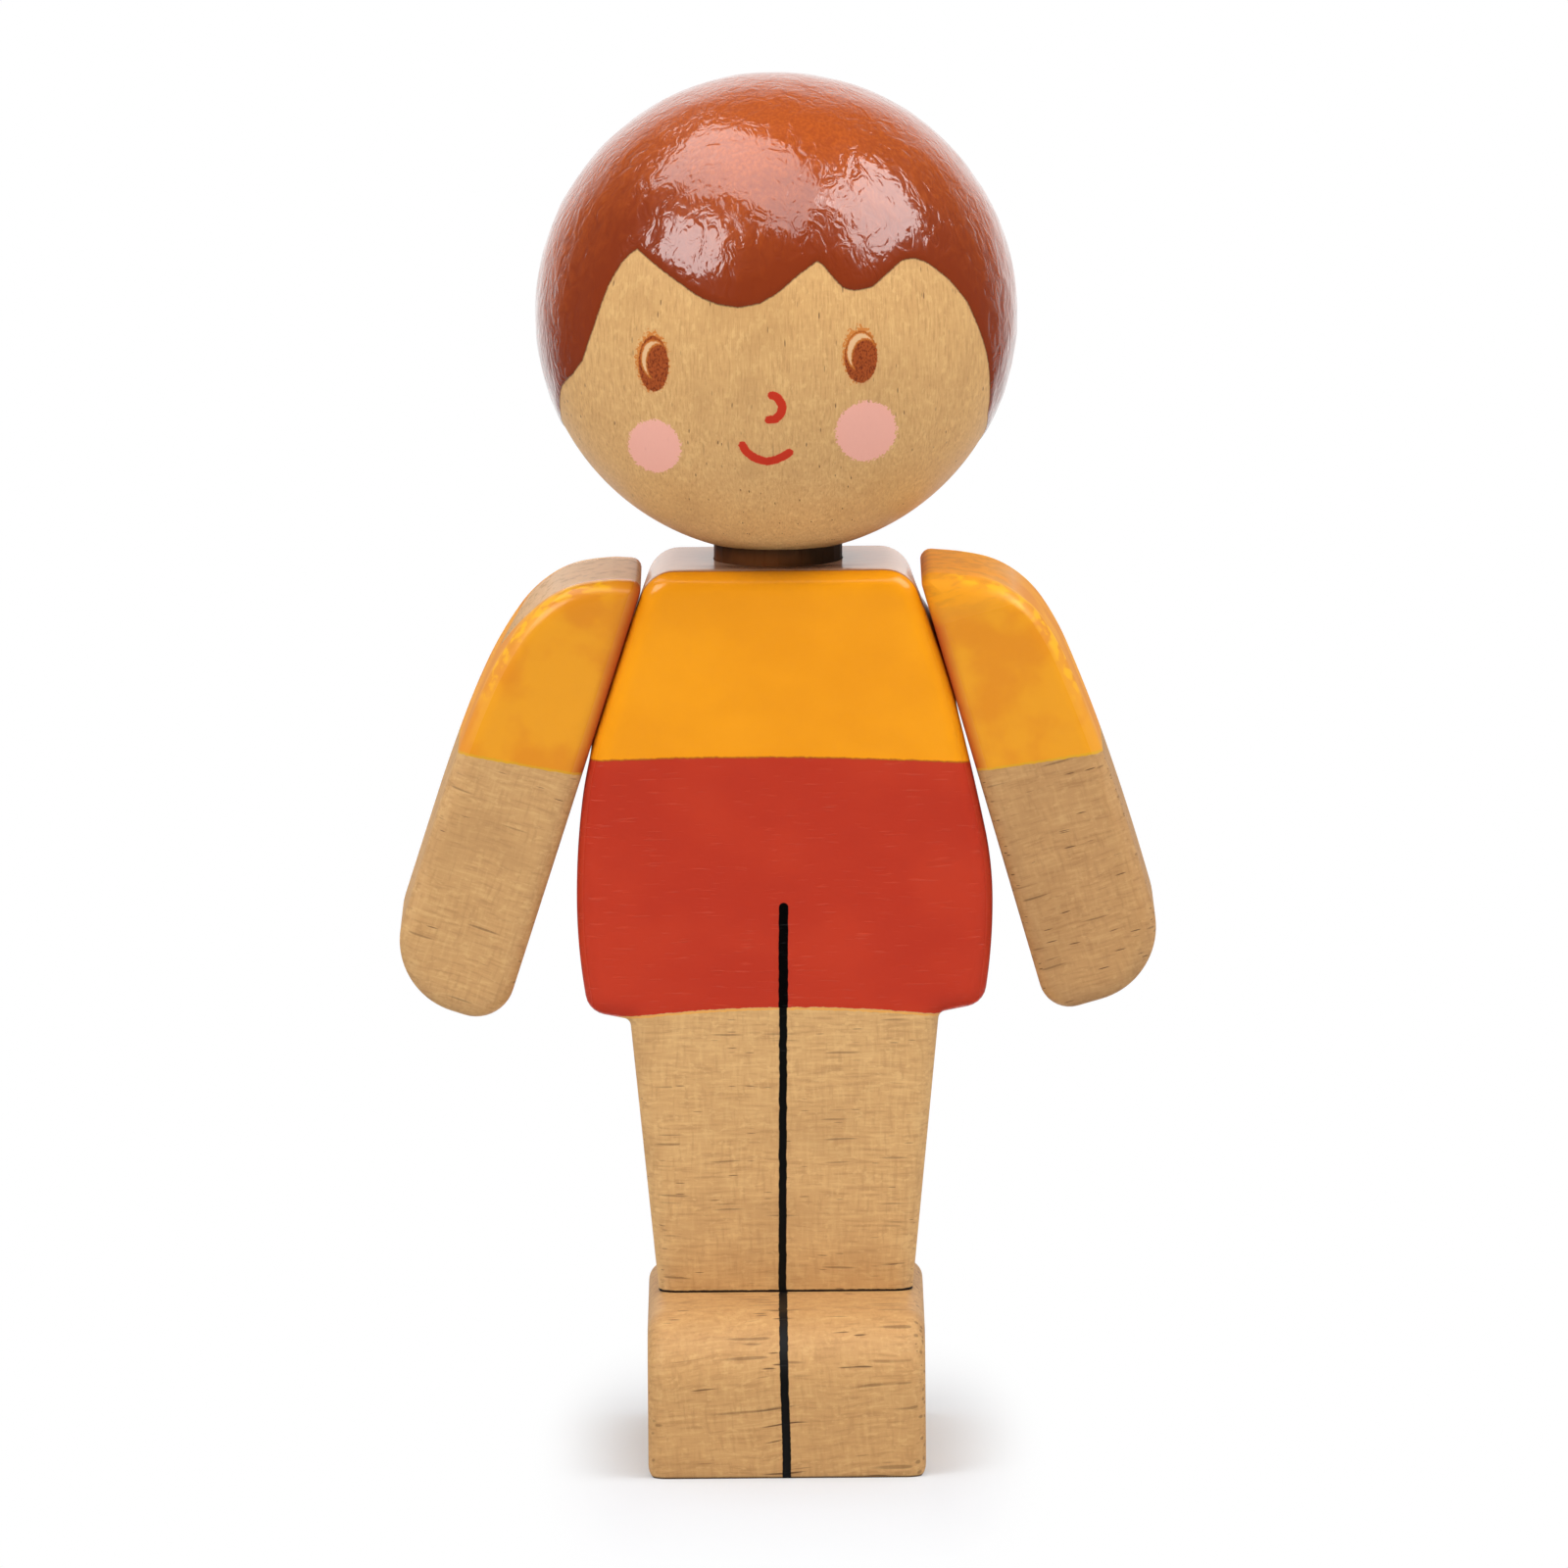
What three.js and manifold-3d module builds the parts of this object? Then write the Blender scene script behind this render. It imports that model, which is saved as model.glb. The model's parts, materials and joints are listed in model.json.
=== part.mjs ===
// Wooden dollhouse figure of a child: a ball head on a neck dowel, one sawn board for the torso and
// both legs, a separate foot block, and two flat arms that turn on dowels.
//
// Millimetres, +Z up. The figure stands on z = 0 and faces -Y. The board's middle plane is y = 0, and
// the middle of the legs is x = 0. Left and right are the figure's own, so its left arm is at +X.

import * as THREE from 'three';
import { mergeVertices } from 'three/addons/utils/BufferGeometryUtils.js';
import Module from 'manifold-3d';

const wasm = await Module();
wasm.setup();

// Head: a stock wooden ball
const headDiameter = 30;
const neckShows = 1.0; // height of bare dowel between the torso and the rim of the ball's hole
const neckOffset = -0.25; // in x: the neck's hole is drilled a little off the middle of the torso

// Board that the body and the arms are sawn from
const bodyThickness = 13;
const armThickness = 13;
const edgeRound = 1.2; // sanded edges

// Body outline, seen from the front
const torsoTop = 55.2; // height above the floor
const torsoCornerRound = 1.4;
const sideLean = THREE.MathUtils.degToRad(17.1); // of the torso's straight sides, from upright
const hipHeight = 33.8; // where the hips are widest
const hipBulge = 0.83; // how far the hips stand out beyond the hem's corner
const hipUpperRadius = 32.4;
const hemHeight = 27.25; // lower edge of the shorts, above the floor
const hemFlat = 0.65; // width of the flat between the hem's two rounds
const hemCornerRound = 1.35;
const hemInnerRound = 0.6;
const legHalfWidthAtHem = 9.52;
const legHalfWidthAtFoot = 7.9;

// Foot block
const footHalfWidth = 8.6;
const footHeight = 9.9;
const toeReach = 10.5; // how far the block stands out in front of the legs
const toeRound = 4.5;
const soleEdgeRound = 0.5;

// Arms. Each turns on a dowel drilled nearly square to the slanted side of the torso, and the drill
// ran a little off on both sides, so that neither arm lies quite along its side.
const leftArmLean = THREE.MathUtils.degToRad(15.7); // from upright
const rightArmLean = THREE.MathUtils.degToRad(18.1);
const leftPivotDown = 7.46; // from the torso's top, along its side
const rightPivotDown = 7.94;
const armWidth = 8.05;
const armLength = 28.4;
const armGap = 0.5; // between the arm and the torso, at the dowel
const shoulderSweep = 12; // length of the shoulder's elliptical round
const armInnerTopRound = 1.25;
const handOuterRound = 4.1;
const handInnerRound = 1.9;
const pivotBelowArmTop = 6.5;

// Dowels and the holes that they go in
const neckDowelDiameter = 8;
const neckDowelInBody = 5;
const neckDowelInHead = 11;
const shoulderDowelDiameter = 4;
const shoulderDowelInBody = 5;
const shoulderDowelInArm = 4.6;
const footDowelDiameter = 4;
const footDowelInLeg = 8;
const footDowelInFoot = 6;
const footDowelSpacing = 8; // between the two dowels' axes
const dowelChamfer = 0.4;
const holeClearance = 0.3; // round a dowel and past its end

// How finely round shapes are cut into flats
const arcFlat = 1.3; // length of a flat on an outline, at most
const leastFlats = 3; // on any one arc
const edgeSteps = 4; // flats across a sanded edge
const dowelSides = 24;
const ballSides = 48;
const ballRings = 32;
const cutMargin = 4; // how far a cutting tool runs past what it cuts
const weldDistance = 1e-5; // vertices closer than this are one

// Colours
const woodColour = 0xcea06a;
const hairColour = 0xa8501f;
const shirtColour = 0xf39c1e;
const shortsColour = 0xc03326;
const neckColour = 0x4e2811;
const dowelColour = 0xd9b98a;
const paintRoughness = 0.35;
const lacquerRoughness = 0.45;
const bareRoughness = 0.7;

// Worked out from the sizes above
const headRadius = headDiameter / 2;
const neckHoleRadius = neckDowelDiameter / 2 + holeClearance;
const headRimDrop = Math.sqrt(headRadius ** 2 - neckHoleRadius ** 2); // centre to the hole's rim
const headCentre = torsoTop + neckShows + headRimDrop;
const legLean = Math.atan2(legHalfWidthAtHem - legHalfWidthAtFoot, hemHeight - footHeight);
const notchHeight = hemHeight - hemInnerRound; // centre of the round between the leg and the hem
const notchX = legHalfWidth(notchHeight + hemInnerRound * Math.sin(legLean))
  + hemInnerRound * Math.cos(legLean);
const hemCornerX = notchX + hemFlat;
const hemCornerHeight = hemHeight + hemCornerRound;
const hipHalfWidth = hemCornerX + hemCornerRound + hipBulge;
const hemToHip = hipHeight - hemCornerHeight;
// The hip's lower arc is upright at the widest point and runs into the hem's corner
const hipLowerRadius = ((hipBulge + hemCornerRound) ** 2 + hemToHip ** 2 - hemCornerRound ** 2)
  / (2 * hipBulge);
const sideFoot = hipHeight + hipUpperRadius * Math.sin(sideLean); // where the straight side starts
const sideFootX = hipHalfWidth - hipUpperRadius * (1 - Math.cos(sideLean));
const torsoTopHalfWidth = sideFootX - (torsoTop - sideFoot) * Math.tan(sideLean);

// Outlines

function arc(centreX, centreY, radius, from, to) {
  const count = Math.max(leastFlats, Math.ceil((radius * Math.abs(to - from)) / arcFlat));
  const points = [];
  for (let i = 0; i <= count; i += 1) {
    const angle = from + ((to - from) * i) / count;
    points.push(new THREE.Vector2(centreX + radius * Math.cos(angle), centreY + radius * Math.sin(angle)));
  }
  return points;
}

function withMirror(rightHalf) {
  const leftHalf = rightHalf.map((p) => new THREE.Vector2(-p.x, p.y)).reverse();
  return [...rightHalf, ...leftHalf];
}

// The leg's side carries on below the foot joint, and the saw cut there is made afterwards
function legHalfWidth(height) {
  const taper = (legHalfWidthAtHem - legHalfWidthAtFoot) / (hemHeight - footHeight);
  return legHalfWidthAtFoot + (height - footHeight) * taper;
}

function bodyOutline() {
  const legEnd = footHeight - cutMargin;
  const lowerCentreX = hipHalfWidth - hipLowerRadius;
  const hemCornerAngle = -Math.atan2(hemToHip, hemCornerX - lowerCentreX);
  const topCornerHeight = torsoTop - torsoCornerRound;
  const topCornerX = torsoTopHalfWidth - torsoCornerRound * Math.tan(Math.PI / 4 + sideLean / 2)
    + torsoCornerRound * Math.tan(sideLean);

  return withMirror([
    new THREE.Vector2(legHalfWidth(legEnd), legEnd),
    ...arc(notchX, notchHeight, hemInnerRound, Math.PI - legLean, Math.PI / 2),
    ...arc(hemCornerX, hemCornerHeight, hemCornerRound, -Math.PI / 2, hemCornerAngle),
    ...arc(lowerCentreX, hipHeight, hipLowerRadius, hemCornerAngle, 0).slice(1),
    ...arc(hipHalfWidth - hipUpperRadius, hipHeight, hipUpperRadius, 0, sideLean).slice(1),
    ...arc(topCornerX, topCornerHeight, torsoCornerRound, sideLean, Math.PI / 2),
  ]);
}

// Arm outline, seen from the front with the arm upright, the dowel's axis on x and the torso at x = 0
function armOutline() {
  const inner = armGap;
  const outer = armGap + armWidth;
  const top = pivotBelowArmTop;
  const end = top - armLength;
  const cornerX = inner + armInnerTopRound;
  const shoulderReach = outer - cornerX;
  const points = [];
  const count = Math.ceil(((shoulderSweep + shoulderReach) * Math.PI) / 4 / arcFlat);
  for (let i = 0; i < count; i += 1) {
    const angle = (i / count) * (Math.PI / 2);
    points.push(new THREE.Vector2(
      cornerX + shoulderReach * Math.cos(angle),
      top - shoulderSweep + shoulderSweep * Math.sin(angle),
    ));
  }
  points.push(...arc(cornerX, top - armInnerTopRound, armInnerTopRound, Math.PI / 2, Math.PI));
  points.push(...arc(inner + handInnerRound, end + handInnerRound, handInnerRound, Math.PI, Math.PI * 1.5));
  points.push(...arc(outer - handOuterRound, end + handOuterRound, handOuterRound, -Math.PI / 2, 0));
  return points;
}

// The radii go round from the lower left corner
function roundedBox(left, bottom, right, top, radii) {
  const [bottomLeft, bottomRight, topRight, topLeft] = radii;
  return [
    ...arc(left + bottomLeft, bottom + bottomLeft, bottomLeft, Math.PI, Math.PI * 1.5),
    ...arc(right - bottomRight, bottom + bottomRight, bottomRight, -Math.PI / 2, 0),
    ...arc(right - topRight, top - topRight, topRight, 0, Math.PI / 2),
    ...arc(left + topLeft, top - topLeft, topLeft, Math.PI / 2, Math.PI),
  ];
}

// Geometry

// Each of these only swaps and negates coordinates, so that flat faces stay exactly flat
function mapped(geometry, place) {
  const position = geometry.attributes.position;
  for (let i = 0; i < position.count; i += 1) {
    position.setXYZ(i, ...place(position.getX(i), position.getY(i), position.getZ(i)));
  }
  return geometry;
}
const yUpToZUp = (geometry) => mapped(geometry, (x, y, z) => [x, -z, y]);
const yUpToXUp = (geometry) => mapped(geometry, (x, y, z) => [y, z, x]);
const turnAbout = (geometry) => mapped(geometry, (x, y, z) => [-x, -y, z]);

// An outline drawn in the front view, as a board with both faces' edges sanded round
function board(outline, thickness) {
  const geometry = new THREE.ExtrudeGeometry(new THREE.Shape(outline), {
    depth: thickness - 2 * edgeRound,
    bevelEnabled: true,
    bevelThickness: edgeRound,
    bevelSize: edgeRound,
    bevelOffset: -edgeRound,
    bevelSegments: edgeSteps,
  });
  return yUpToZUp(geometry.translate(0, 0, edgeRound - thickness / 2));
}

// An outline pushed straight through, along +Z of its own drawing
function prism(outline, from, to) {
  const options = { depth: to - from, bevelEnabled: false };
  return new THREE.ExtrudeGeometry(new THREE.Shape(outline), options).translate(0, 0, from);
}

function dowel(radius, from, to, chamfer) {
  const profile = [
    new THREE.Vector2(0, from),
    new THREE.Vector2(radius - chamfer, from),
    new THREE.Vector2(radius, from + chamfer),
    new THREE.Vector2(radius, to - chamfer),
    new THREE.Vector2(radius - chamfer, to),
    new THREE.Vector2(0, to),
  ];
  return new THREE.LatheGeometry(profile, dowelSides);
}

// The hole for a dowel, which runs past the surface by the margin
function hole(radius, from, to) {
  const profile = [
    new THREE.Vector2(0, from),
    new THREE.Vector2(radius, from),
    new THREE.Vector2(radius, to),
    new THREE.Vector2(0, to),
  ];
  return new THREE.LatheGeometry(profile, dowelSides);
}

// Solids

function solid(geometry) {
  const bare = geometry.clone();
  bare.deleteAttribute('normal');
  bare.deleteAttribute('uv');
  const merged = mergeVertices(bare, weldDistance);
  return new wasm.Manifold(new wasm.Mesh({
    numProp: 3,
    vertProperties: new Float32Array(merged.attributes.position.array),
    triVerts: new Uint32Array(merged.index.array),
  }));
}

function geometryOf(manifold) {
  const mesh = manifold.getMesh();
  const geometry = new THREE.BufferGeometry();
  geometry.setAttribute('position', new THREE.BufferAttribute(new Float32Array(mesh.vertProperties), 3));
  geometry.setIndex(new THREE.BufferAttribute(new Uint32Array(mesh.triVerts), 1));
  geometry.computeVertexNormals();
  return geometry;
}

function cut(geometry, tools) {
  return geometryOf(tools.reduce((left, tool) => left.subtract(solid(tool)), solid(geometry)));
}

function piece(name, geometry, colour, roughness) {
  const material = new THREE.MeshStandardMaterial({ color: colour, roughness, metalness: 0 });
  const mesh = new THREE.Mesh(geometry, material);
  mesh.name = name;
  return mesh;
}

// Pieces

// The shoulder's own frame: origin where the dowel comes out of the torso, Z up along the arm
function placeAtShoulder(object, side) {
  const pivotDown = side > 0 ? leftPivotDown : rightPivotDown;
  const armLean = side > 0 ? leftArmLean : rightArmLean;
  object.position.set(
    side * (torsoTopHalfWidth + pivotDown * Math.sin(sideLean)),
    0,
    torsoTop - pivotDown * Math.cos(sideLean),
  );
  object.rotation.y = -side * armLean;
  object.updateMatrix();
  return object;
}

function neckHole() {
  const tool = hole(
    neckHoleRadius,
    torsoTop - neckDowelInBody - holeClearance,
    headCentre - headRimDrop + neckDowelInHead + holeClearance,
  );
  return yUpToZUp(tool).translate(neckOffset, 0, 0);
}

function head() {
  const ball = yUpToZUp(new THREE.SphereGeometry(headRadius, ballSides, ballRings));
  const drilled = cut(ball.translate(neckOffset, 0, headCentre), [neckHole()]);
  return piece('head', drilled, hairColour, paintRoughness);
}

function neckDowel() {
  const from = torsoTop - neckDowelInBody;
  const to = headCentre - headRimDrop + neckDowelInHead;
  const geometry = yUpToZUp(dowel(neckDowelDiameter / 2, from, to, dowelChamfer));
  return piece('neck_dowel', geometry.translate(neckOffset, 0, 0), neckColour, bareRoughness);
}

function shoulderHole(side) {
  const reach = shoulderDowelInBody + holeClearance;
  const tool = yUpToXUp(hole(shoulderDowelDiameter / 2 + holeClearance, -reach, cutMargin));
  if (side < 0) turnAbout(tool);
  return tool.applyMatrix4(placeAtShoulder(new THREE.Object3D(), side).matrix);
}

const footDowelX = (side) => (side * footDowelSpacing) / 2;

function footDowelHole(side, from, to) {
  return yUpToZUp(hole(footDowelDiameter / 2 + holeClearance, from, to)).translate(footDowelX(side), 0, 0);
}

// The legs end in a square saw cut on the foot block, so everything below its top comes off
function belowFootTop() {
  const x = hipHalfWidth + cutMargin;
  const y = bodyThickness / 2 + cutMargin;
  const outline = [[-x, -y], [x, -y], [x, y], [-x, y]].map((corner) => new THREE.Vector2(...corner));
  return prism(outline, footHeight - 2 * cutMargin, footHeight);
}

function body() {
  const legHoleTop = footHeight + footDowelInLeg + holeClearance;
  const tools = [
    belowFootTop(),
    neckHole(),
    shoulderHole(-1),
    shoulderHole(1),
    footDowelHole(-1, footHeight - cutMargin, legHoleTop),
    footDowelHole(1, footHeight - cutMargin, legHoleTop),
  ];
  return piece('body', cut(board(bodyOutline(), bodyThickness), tools), shirtColour, paintRoughness);
}

// The block is what is left between its outlines from the front, from the side and from above
function footBlock() {
  const front = -bodyThickness / 2 - toeReach;
  const back = bodyThickness / 2;
  const w = footHalfWidth;
  const fromFront = yUpToZUp(prism(
    roundedBox(-w, 0, w, footHeight, [edgeRound, edgeRound, edgeRound, edgeRound]),
    -back - cutMargin,
    -front + cutMargin,
  ));
  const fromSide = yUpToZUp(mapped(prism(
    roundedBox(front, 0, back, footHeight, [soleEdgeRound, soleEdgeRound, edgeRound, toeRound]),
    -w - cutMargin,
    w + cutMargin,
  ), (x, y, z) => [z, y, -x]));
  const fromAbove = prism(
    roundedBox(-w, front, w, back, [edgeRound, edgeRound, edgeRound, edgeRound]),
    -cutMargin,
    footHeight + cutMargin,
  );
  const block = solid(fromFront).intersect(solid(fromSide)).intersect(solid(fromAbove));
  const holeFrom = footHeight - footDowelInFoot - holeClearance;
  const drilled = [-1, 1].reduce(
    (left, side) => left.subtract(solid(footDowelHole(side, holeFrom, footHeight + cutMargin))),
    block,
  );
  return piece('foot_block', geometryOf(drilled), woodColour, lacquerRoughness);
}

function footDowel(name, side) {
  const from = footHeight - footDowelInFoot;
  const to = footHeight + footDowelInLeg;
  const geometry = yUpToZUp(dowel(footDowelDiameter / 2, from, to, dowelChamfer));
  return piece(name, geometry.translate(footDowelX(side), 0, 0), dowelColour, bareRoughness);
}

function arm(name, side) {
  const outline = armOutline();
  const drawn = side > 0 ? outline : outline.map((p) => new THREE.Vector2(-p.x, p.y)).reverse();
  const tool = yUpToXUp(hole(
    shoulderDowelDiameter / 2 + holeClearance,
    armGap - cutMargin,
    armGap + shoulderDowelInArm + holeClearance,
  ));
  if (side < 0) turnAbout(tool);
  const geometry = cut(board(drawn, armThickness), [tool]);
  return placeAtShoulder(piece(name, geometry, woodColour, lacquerRoughness), side);
}

function shoulderDowel(name, side) {
  const geometry = yUpToXUp(dowel(
    shoulderDowelDiameter / 2,
    -shoulderDowelInBody,
    armGap + shoulderDowelInArm,
    dowelChamfer,
  ));
  if (side < 0) turnAbout(geometry);
  return placeAtShoulder(piece(name, geometry, dowelColour, bareRoughness), side);
}

const figure = new THREE.Group();
figure.add(
  head(),
  neckDowel(),
  body(),
  footBlock(),
  footDowel('right_foot_dowel', -1),
  footDowel('left_foot_dowel', 1),
  arm('right_arm', -1),
  arm('left_arm', 1),
  shoulderDowel('right_shoulder_dowel', -1),
  shoulderDowel('left_shoulder_dowel', 1),
);

export default figure;
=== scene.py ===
# %% [markdown]
# # A painted wooden dollhouse figure
# The real figure is turned and sawn from a pale hardwood such as rubberwood: a 30 mm ball for the head, one
# board for the torso and legs, a block for the feet and two flat arms on dowels. Each piece is sanded round
# at its edges, painted by hand or by screen, and lacquered.
#
# The moving frame comes first. It says where each piece goes and which pieces turn together.

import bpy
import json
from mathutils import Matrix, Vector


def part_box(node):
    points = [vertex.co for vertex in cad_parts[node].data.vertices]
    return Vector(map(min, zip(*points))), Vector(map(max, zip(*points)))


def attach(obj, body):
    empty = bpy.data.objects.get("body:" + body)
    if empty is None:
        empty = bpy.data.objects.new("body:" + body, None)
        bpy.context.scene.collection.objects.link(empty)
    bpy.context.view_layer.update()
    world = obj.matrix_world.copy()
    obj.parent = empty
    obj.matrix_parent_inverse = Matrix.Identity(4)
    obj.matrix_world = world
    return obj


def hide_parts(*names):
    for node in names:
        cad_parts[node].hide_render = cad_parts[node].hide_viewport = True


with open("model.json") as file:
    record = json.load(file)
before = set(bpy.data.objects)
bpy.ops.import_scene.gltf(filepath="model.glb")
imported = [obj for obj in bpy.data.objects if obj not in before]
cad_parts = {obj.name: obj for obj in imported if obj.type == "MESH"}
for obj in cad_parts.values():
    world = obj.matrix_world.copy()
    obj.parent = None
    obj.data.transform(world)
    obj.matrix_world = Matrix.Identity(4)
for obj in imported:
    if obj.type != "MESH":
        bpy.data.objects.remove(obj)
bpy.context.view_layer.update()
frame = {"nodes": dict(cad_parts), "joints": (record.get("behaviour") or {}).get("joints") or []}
print("nodes:", sorted(frame["nodes"]))

# %% [markdown]
# Sizes are written in millimetres, as on a maker's drawing, and turned to Blender's metres in one place.
# Colours are written as the hex values that a paint chart gives, and turned to linear light in one place.

# %% Units and colours
import json
import math

import bpy
import numpy as np
from mathutils import Matrix, Vector, geometry, noise

MM = 0.001


def linear(paint):
    """An sRGB hex colour as linear red, green and blue, with alpha."""
    channels = [int(paint[i:i + 2], 16) / 255 for i in (1, 3, 5)]
    return [c / 12.92 if c <= 0.04045 else ((c + 0.055) / 1.055) ** 2.4 for c in channels] + [1]


def box_mm(node):
    """Lowest and highest corner of a CAD node, in millimetres."""
    return [np.array(corner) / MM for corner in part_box(node)]


head_low, head_high = box_mm("head")
print("head from", head_low.round(2), "to", head_high.round(2))

# %% [markdown]
# ## Camera
# A small object is photographed from far off with a long lens, so that its verticals stay nearly parallel.
# The camera stands 1.26 m in front of the figure and a little above it. It is built from its three axes, so
# that the slight roll of the picture is one plain angle.

# %% Camera
eye = Vector((0, -1260, 227.4)) * MM
aim = Vector((0.007, 0, 40.946)) * MM
roll = math.radians(0.45)

towards = (aim - eye).normalized()
level = towards.cross(Vector((0, 0, 1))).normalized()
upright = level.cross(towards)
across = level * math.cos(roll) - upright * math.sin(roll)
up = level * math.sin(roll) + upright * math.cos(roll)

camera_data = bpy.data.cameras.new("camera")
camera_data.lens = 468.4
camera_data.sensor_width = 36
camera = bpy.data.objects.new("camera", camera_data)
camera.matrix_world = Matrix.Translation(eye) @ Matrix((across, up, -towards)).transposed().to_4x4()
bpy.context.scene.collection.objects.link(camera)
bpy.context.scene.camera = camera
bpy.context.scene.view_settings.view_transform = "Standard"
print("camera looks down by", round(math.degrees(math.asin(-towards.z)), 2), "degrees")

# %% [markdown]
# ## Light
# A product photograph of a glossy toy uses big softboxes, whose reflections are the soft bright patches on
# the hair. Two stand in front to the left and right, and a wide one hangs overhead. Area lamps do this.
# Each is placed by the direction in which its reflection shows, and its power comes from how bright its
# face should look. A photographer sets light and reflections apart with cards and flags. Here one lamp of
# each pair lights the surfaces, and the other is only there for the gloss.

# %% Softboxes
head_centre = Vector(((head_low[0] + head_high[0]) / 2, 0, head_high[2] - 15)) * MM
LAMP_DISTANCE = 0.6  # m from the head


def softbox(name, direction, width, height, light, gleam):
    """A lamp that looks at the head. light is how bright its face is for what it lights, and gleam how bright its
    reflection is, where 1 is white."""
    for part, brightness in (("light", light), ("gleam", gleam)) if gleam else (("light", light),):
        data = bpy.data.lights.new(name + "_" + part, "AREA")
        data.shape, data.size, data.size_y = "RECTANGLE", width, height
        data.energy = brightness * math.pi * width * height
        lamp = bpy.data.objects.new(data.name, data)
        away = Vector(direction).normalized()
        lamp.location = head_centre + away * LAMP_DISTANCE
        lamp.rotation_mode = "QUATERNION"
        lamp.rotation_quaternion = away.to_track_quat("Z", "Y")
        lamp.visible_diffuse, lamp.visible_glossy = part == "light", part == "gleam"
        data.cycles.use_multiple_importance_sampling = part == "gleam"  # or one lamp would hide the other
        bpy.context.scene.collection.objects.link(lamp)
        print(data.name, "power", round(data.energy, 2), "W")


softbox("left_softbox", (-0.63, -0.52, 0.57), 0.36, 0.25, light=5.8, gleam=6.0)
softbox("right_softbox", (0.65, -0.20, 0.73), 0.42, 0.34, light=4.3, gleam=5.4)
softbox("top_softbox", (-0.18, -0.16, 0.97), 0.95, 0.38, light=1.0, gleam=3.2)
softbox("front_fill", (0.3, -0.95, -0.02), 0.5, 0.4, light=1.3, gleam=0)

# %% [markdown]
# ## Adding nodes
# One small function adds a node, sets its options and feeds its inputs, in their order or by name. An input
# takes a number, a colour or another node, whose first output in use is linked.

# %% Node helper


def port(sockets, key):
    """The socket in use with that name or number."""
    usable = [s for s in sockets if s.enabled]
    return usable[key] if isinstance(key, int) else next(s for s in usable if s.name == key)


def add(tree, kind, feeds=(), **options):
    """A node with its options. feeds are values in the order of its inputs, or a dict of inputs by name."""
    node = tree.nodes.new("ShaderNode" + kind)
    for key, value in options.items():
        setattr(node, key, value)
    for key, value in dict(feeds if isinstance(feeds, dict) else enumerate(feeds)).items():
        if isinstance(value, bpy.types.Node):
            value = port(value.outputs, 0)
        if isinstance(value, bpy.types.NodeSocket):
            tree.links.new(value, port(node.inputs, key))
        else:
            port(node.inputs, key).default_value = value
    return node


def new_material(name):
    """An empty material and its node tree."""
    made = bpy.data.materials.new(name)
    made.use_nodes = True
    made.node_tree.nodes.clear()
    return made, made.node_tree


print("node helper ready")

# %% [markdown]
# ## Masks, layers and sums
# Paint lies on wood in layers, and each layer has a mask, which is 1 where the paint is and 0 where it isn't.
# A mask comes from soft limits on what is known at each point: a distance to the paint's edge, a direction or
# a noise. Relief and ragged edges are sums of such patterns.

# %% Masks, layers and sums


def where(tree, *limits):
    """A mask that is 1 where every limit holds. Each is another mask, or (value, from, to), which goes smoothly
    from 0 to 1 between the two."""
    product = None
    for limit in limits:
        if isinstance(limit, tuple):
            limit = add(tree, "MapRange", limit, interpolation_type="SMOOTHSTEP")
        product = limit if product is None else add(tree, "Math", (product, limit), operation="MULTIPLY")
    return product


def layer(tree, under, mask, over, strength=1.0):
    """One colour over another through a mask, and at most as strongly as that."""
    share = add(tree, "Math", (mask, strength), operation="MULTIPLY")
    colours = [linear(c) if isinstance(c, str) else c for c in (under, over)]
    return add(tree, "Mix", (share, *colours), data_type="RGBA")


def total(tree, base, *parts):
    """A base value plus each part, given as (pattern, how much of it)."""
    for pattern, much in parts:
        base = add(tree, "Math", (pattern, much, base), operation="MULTIPLY_ADD")
    return base


def axis_of(tree, space, axis):
    """One axis of a point's place or direction, such as the Y of its place on the object, in metres."""
    return add(tree, "SeparateXYZ", (add(tree, "TexCoord").outputs[space],)).outputs[axis]


print("mask helpers ready")

# %% [markdown]
# ## Studio
# The floor is white paper. Close to the figure it is a matt surface that takes the soft shadow, and further
# out it fades to plain white for the camera, as a lit studio sweep does. The surroundings are white to the
# camera and to reflections, and give the object only a moderate fill of light.

# %% Paper floor


def direct_view(tree):
    """1 for what the camera sees, also by reflection or through glass, and 0 for light that falls on the
    object."""
    rays = add(tree, "LightPath").outputs
    mirror = add(tree, "Math", (rays["Is Glossy Ray"], rays["Is Transmission Ray"]), operation="MAXIMUM")
    return add(tree, "Math", (rays["Is Camera Ray"], mirror), operation="MAXIMUM")


DIM = 0.06  # what reflections see of the studio on the photographer's side, where 1 is white
SHEET = 3  # m, half the paper's width
FEET = (8.6, 6), (0, -11)  # mm, half sizes and middle of the toes' outline on the paper
SHADOW_REACH = 7.5, 40  # mm, how far from there the soft shadow shows, to the sides and along
LIT_PAPER = 0.06  # how far the paper is lit up to plain white right at the feet


def backdrop(tree, direction):
    """How bright the studio looks in a reflection: white behind the object and dim elsewhere."""
    return add(tree, "MapRange", (direction, 0.55, 0.98, DIM, 1.0), interpolation_type="SMOOTHSTEP")


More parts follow.
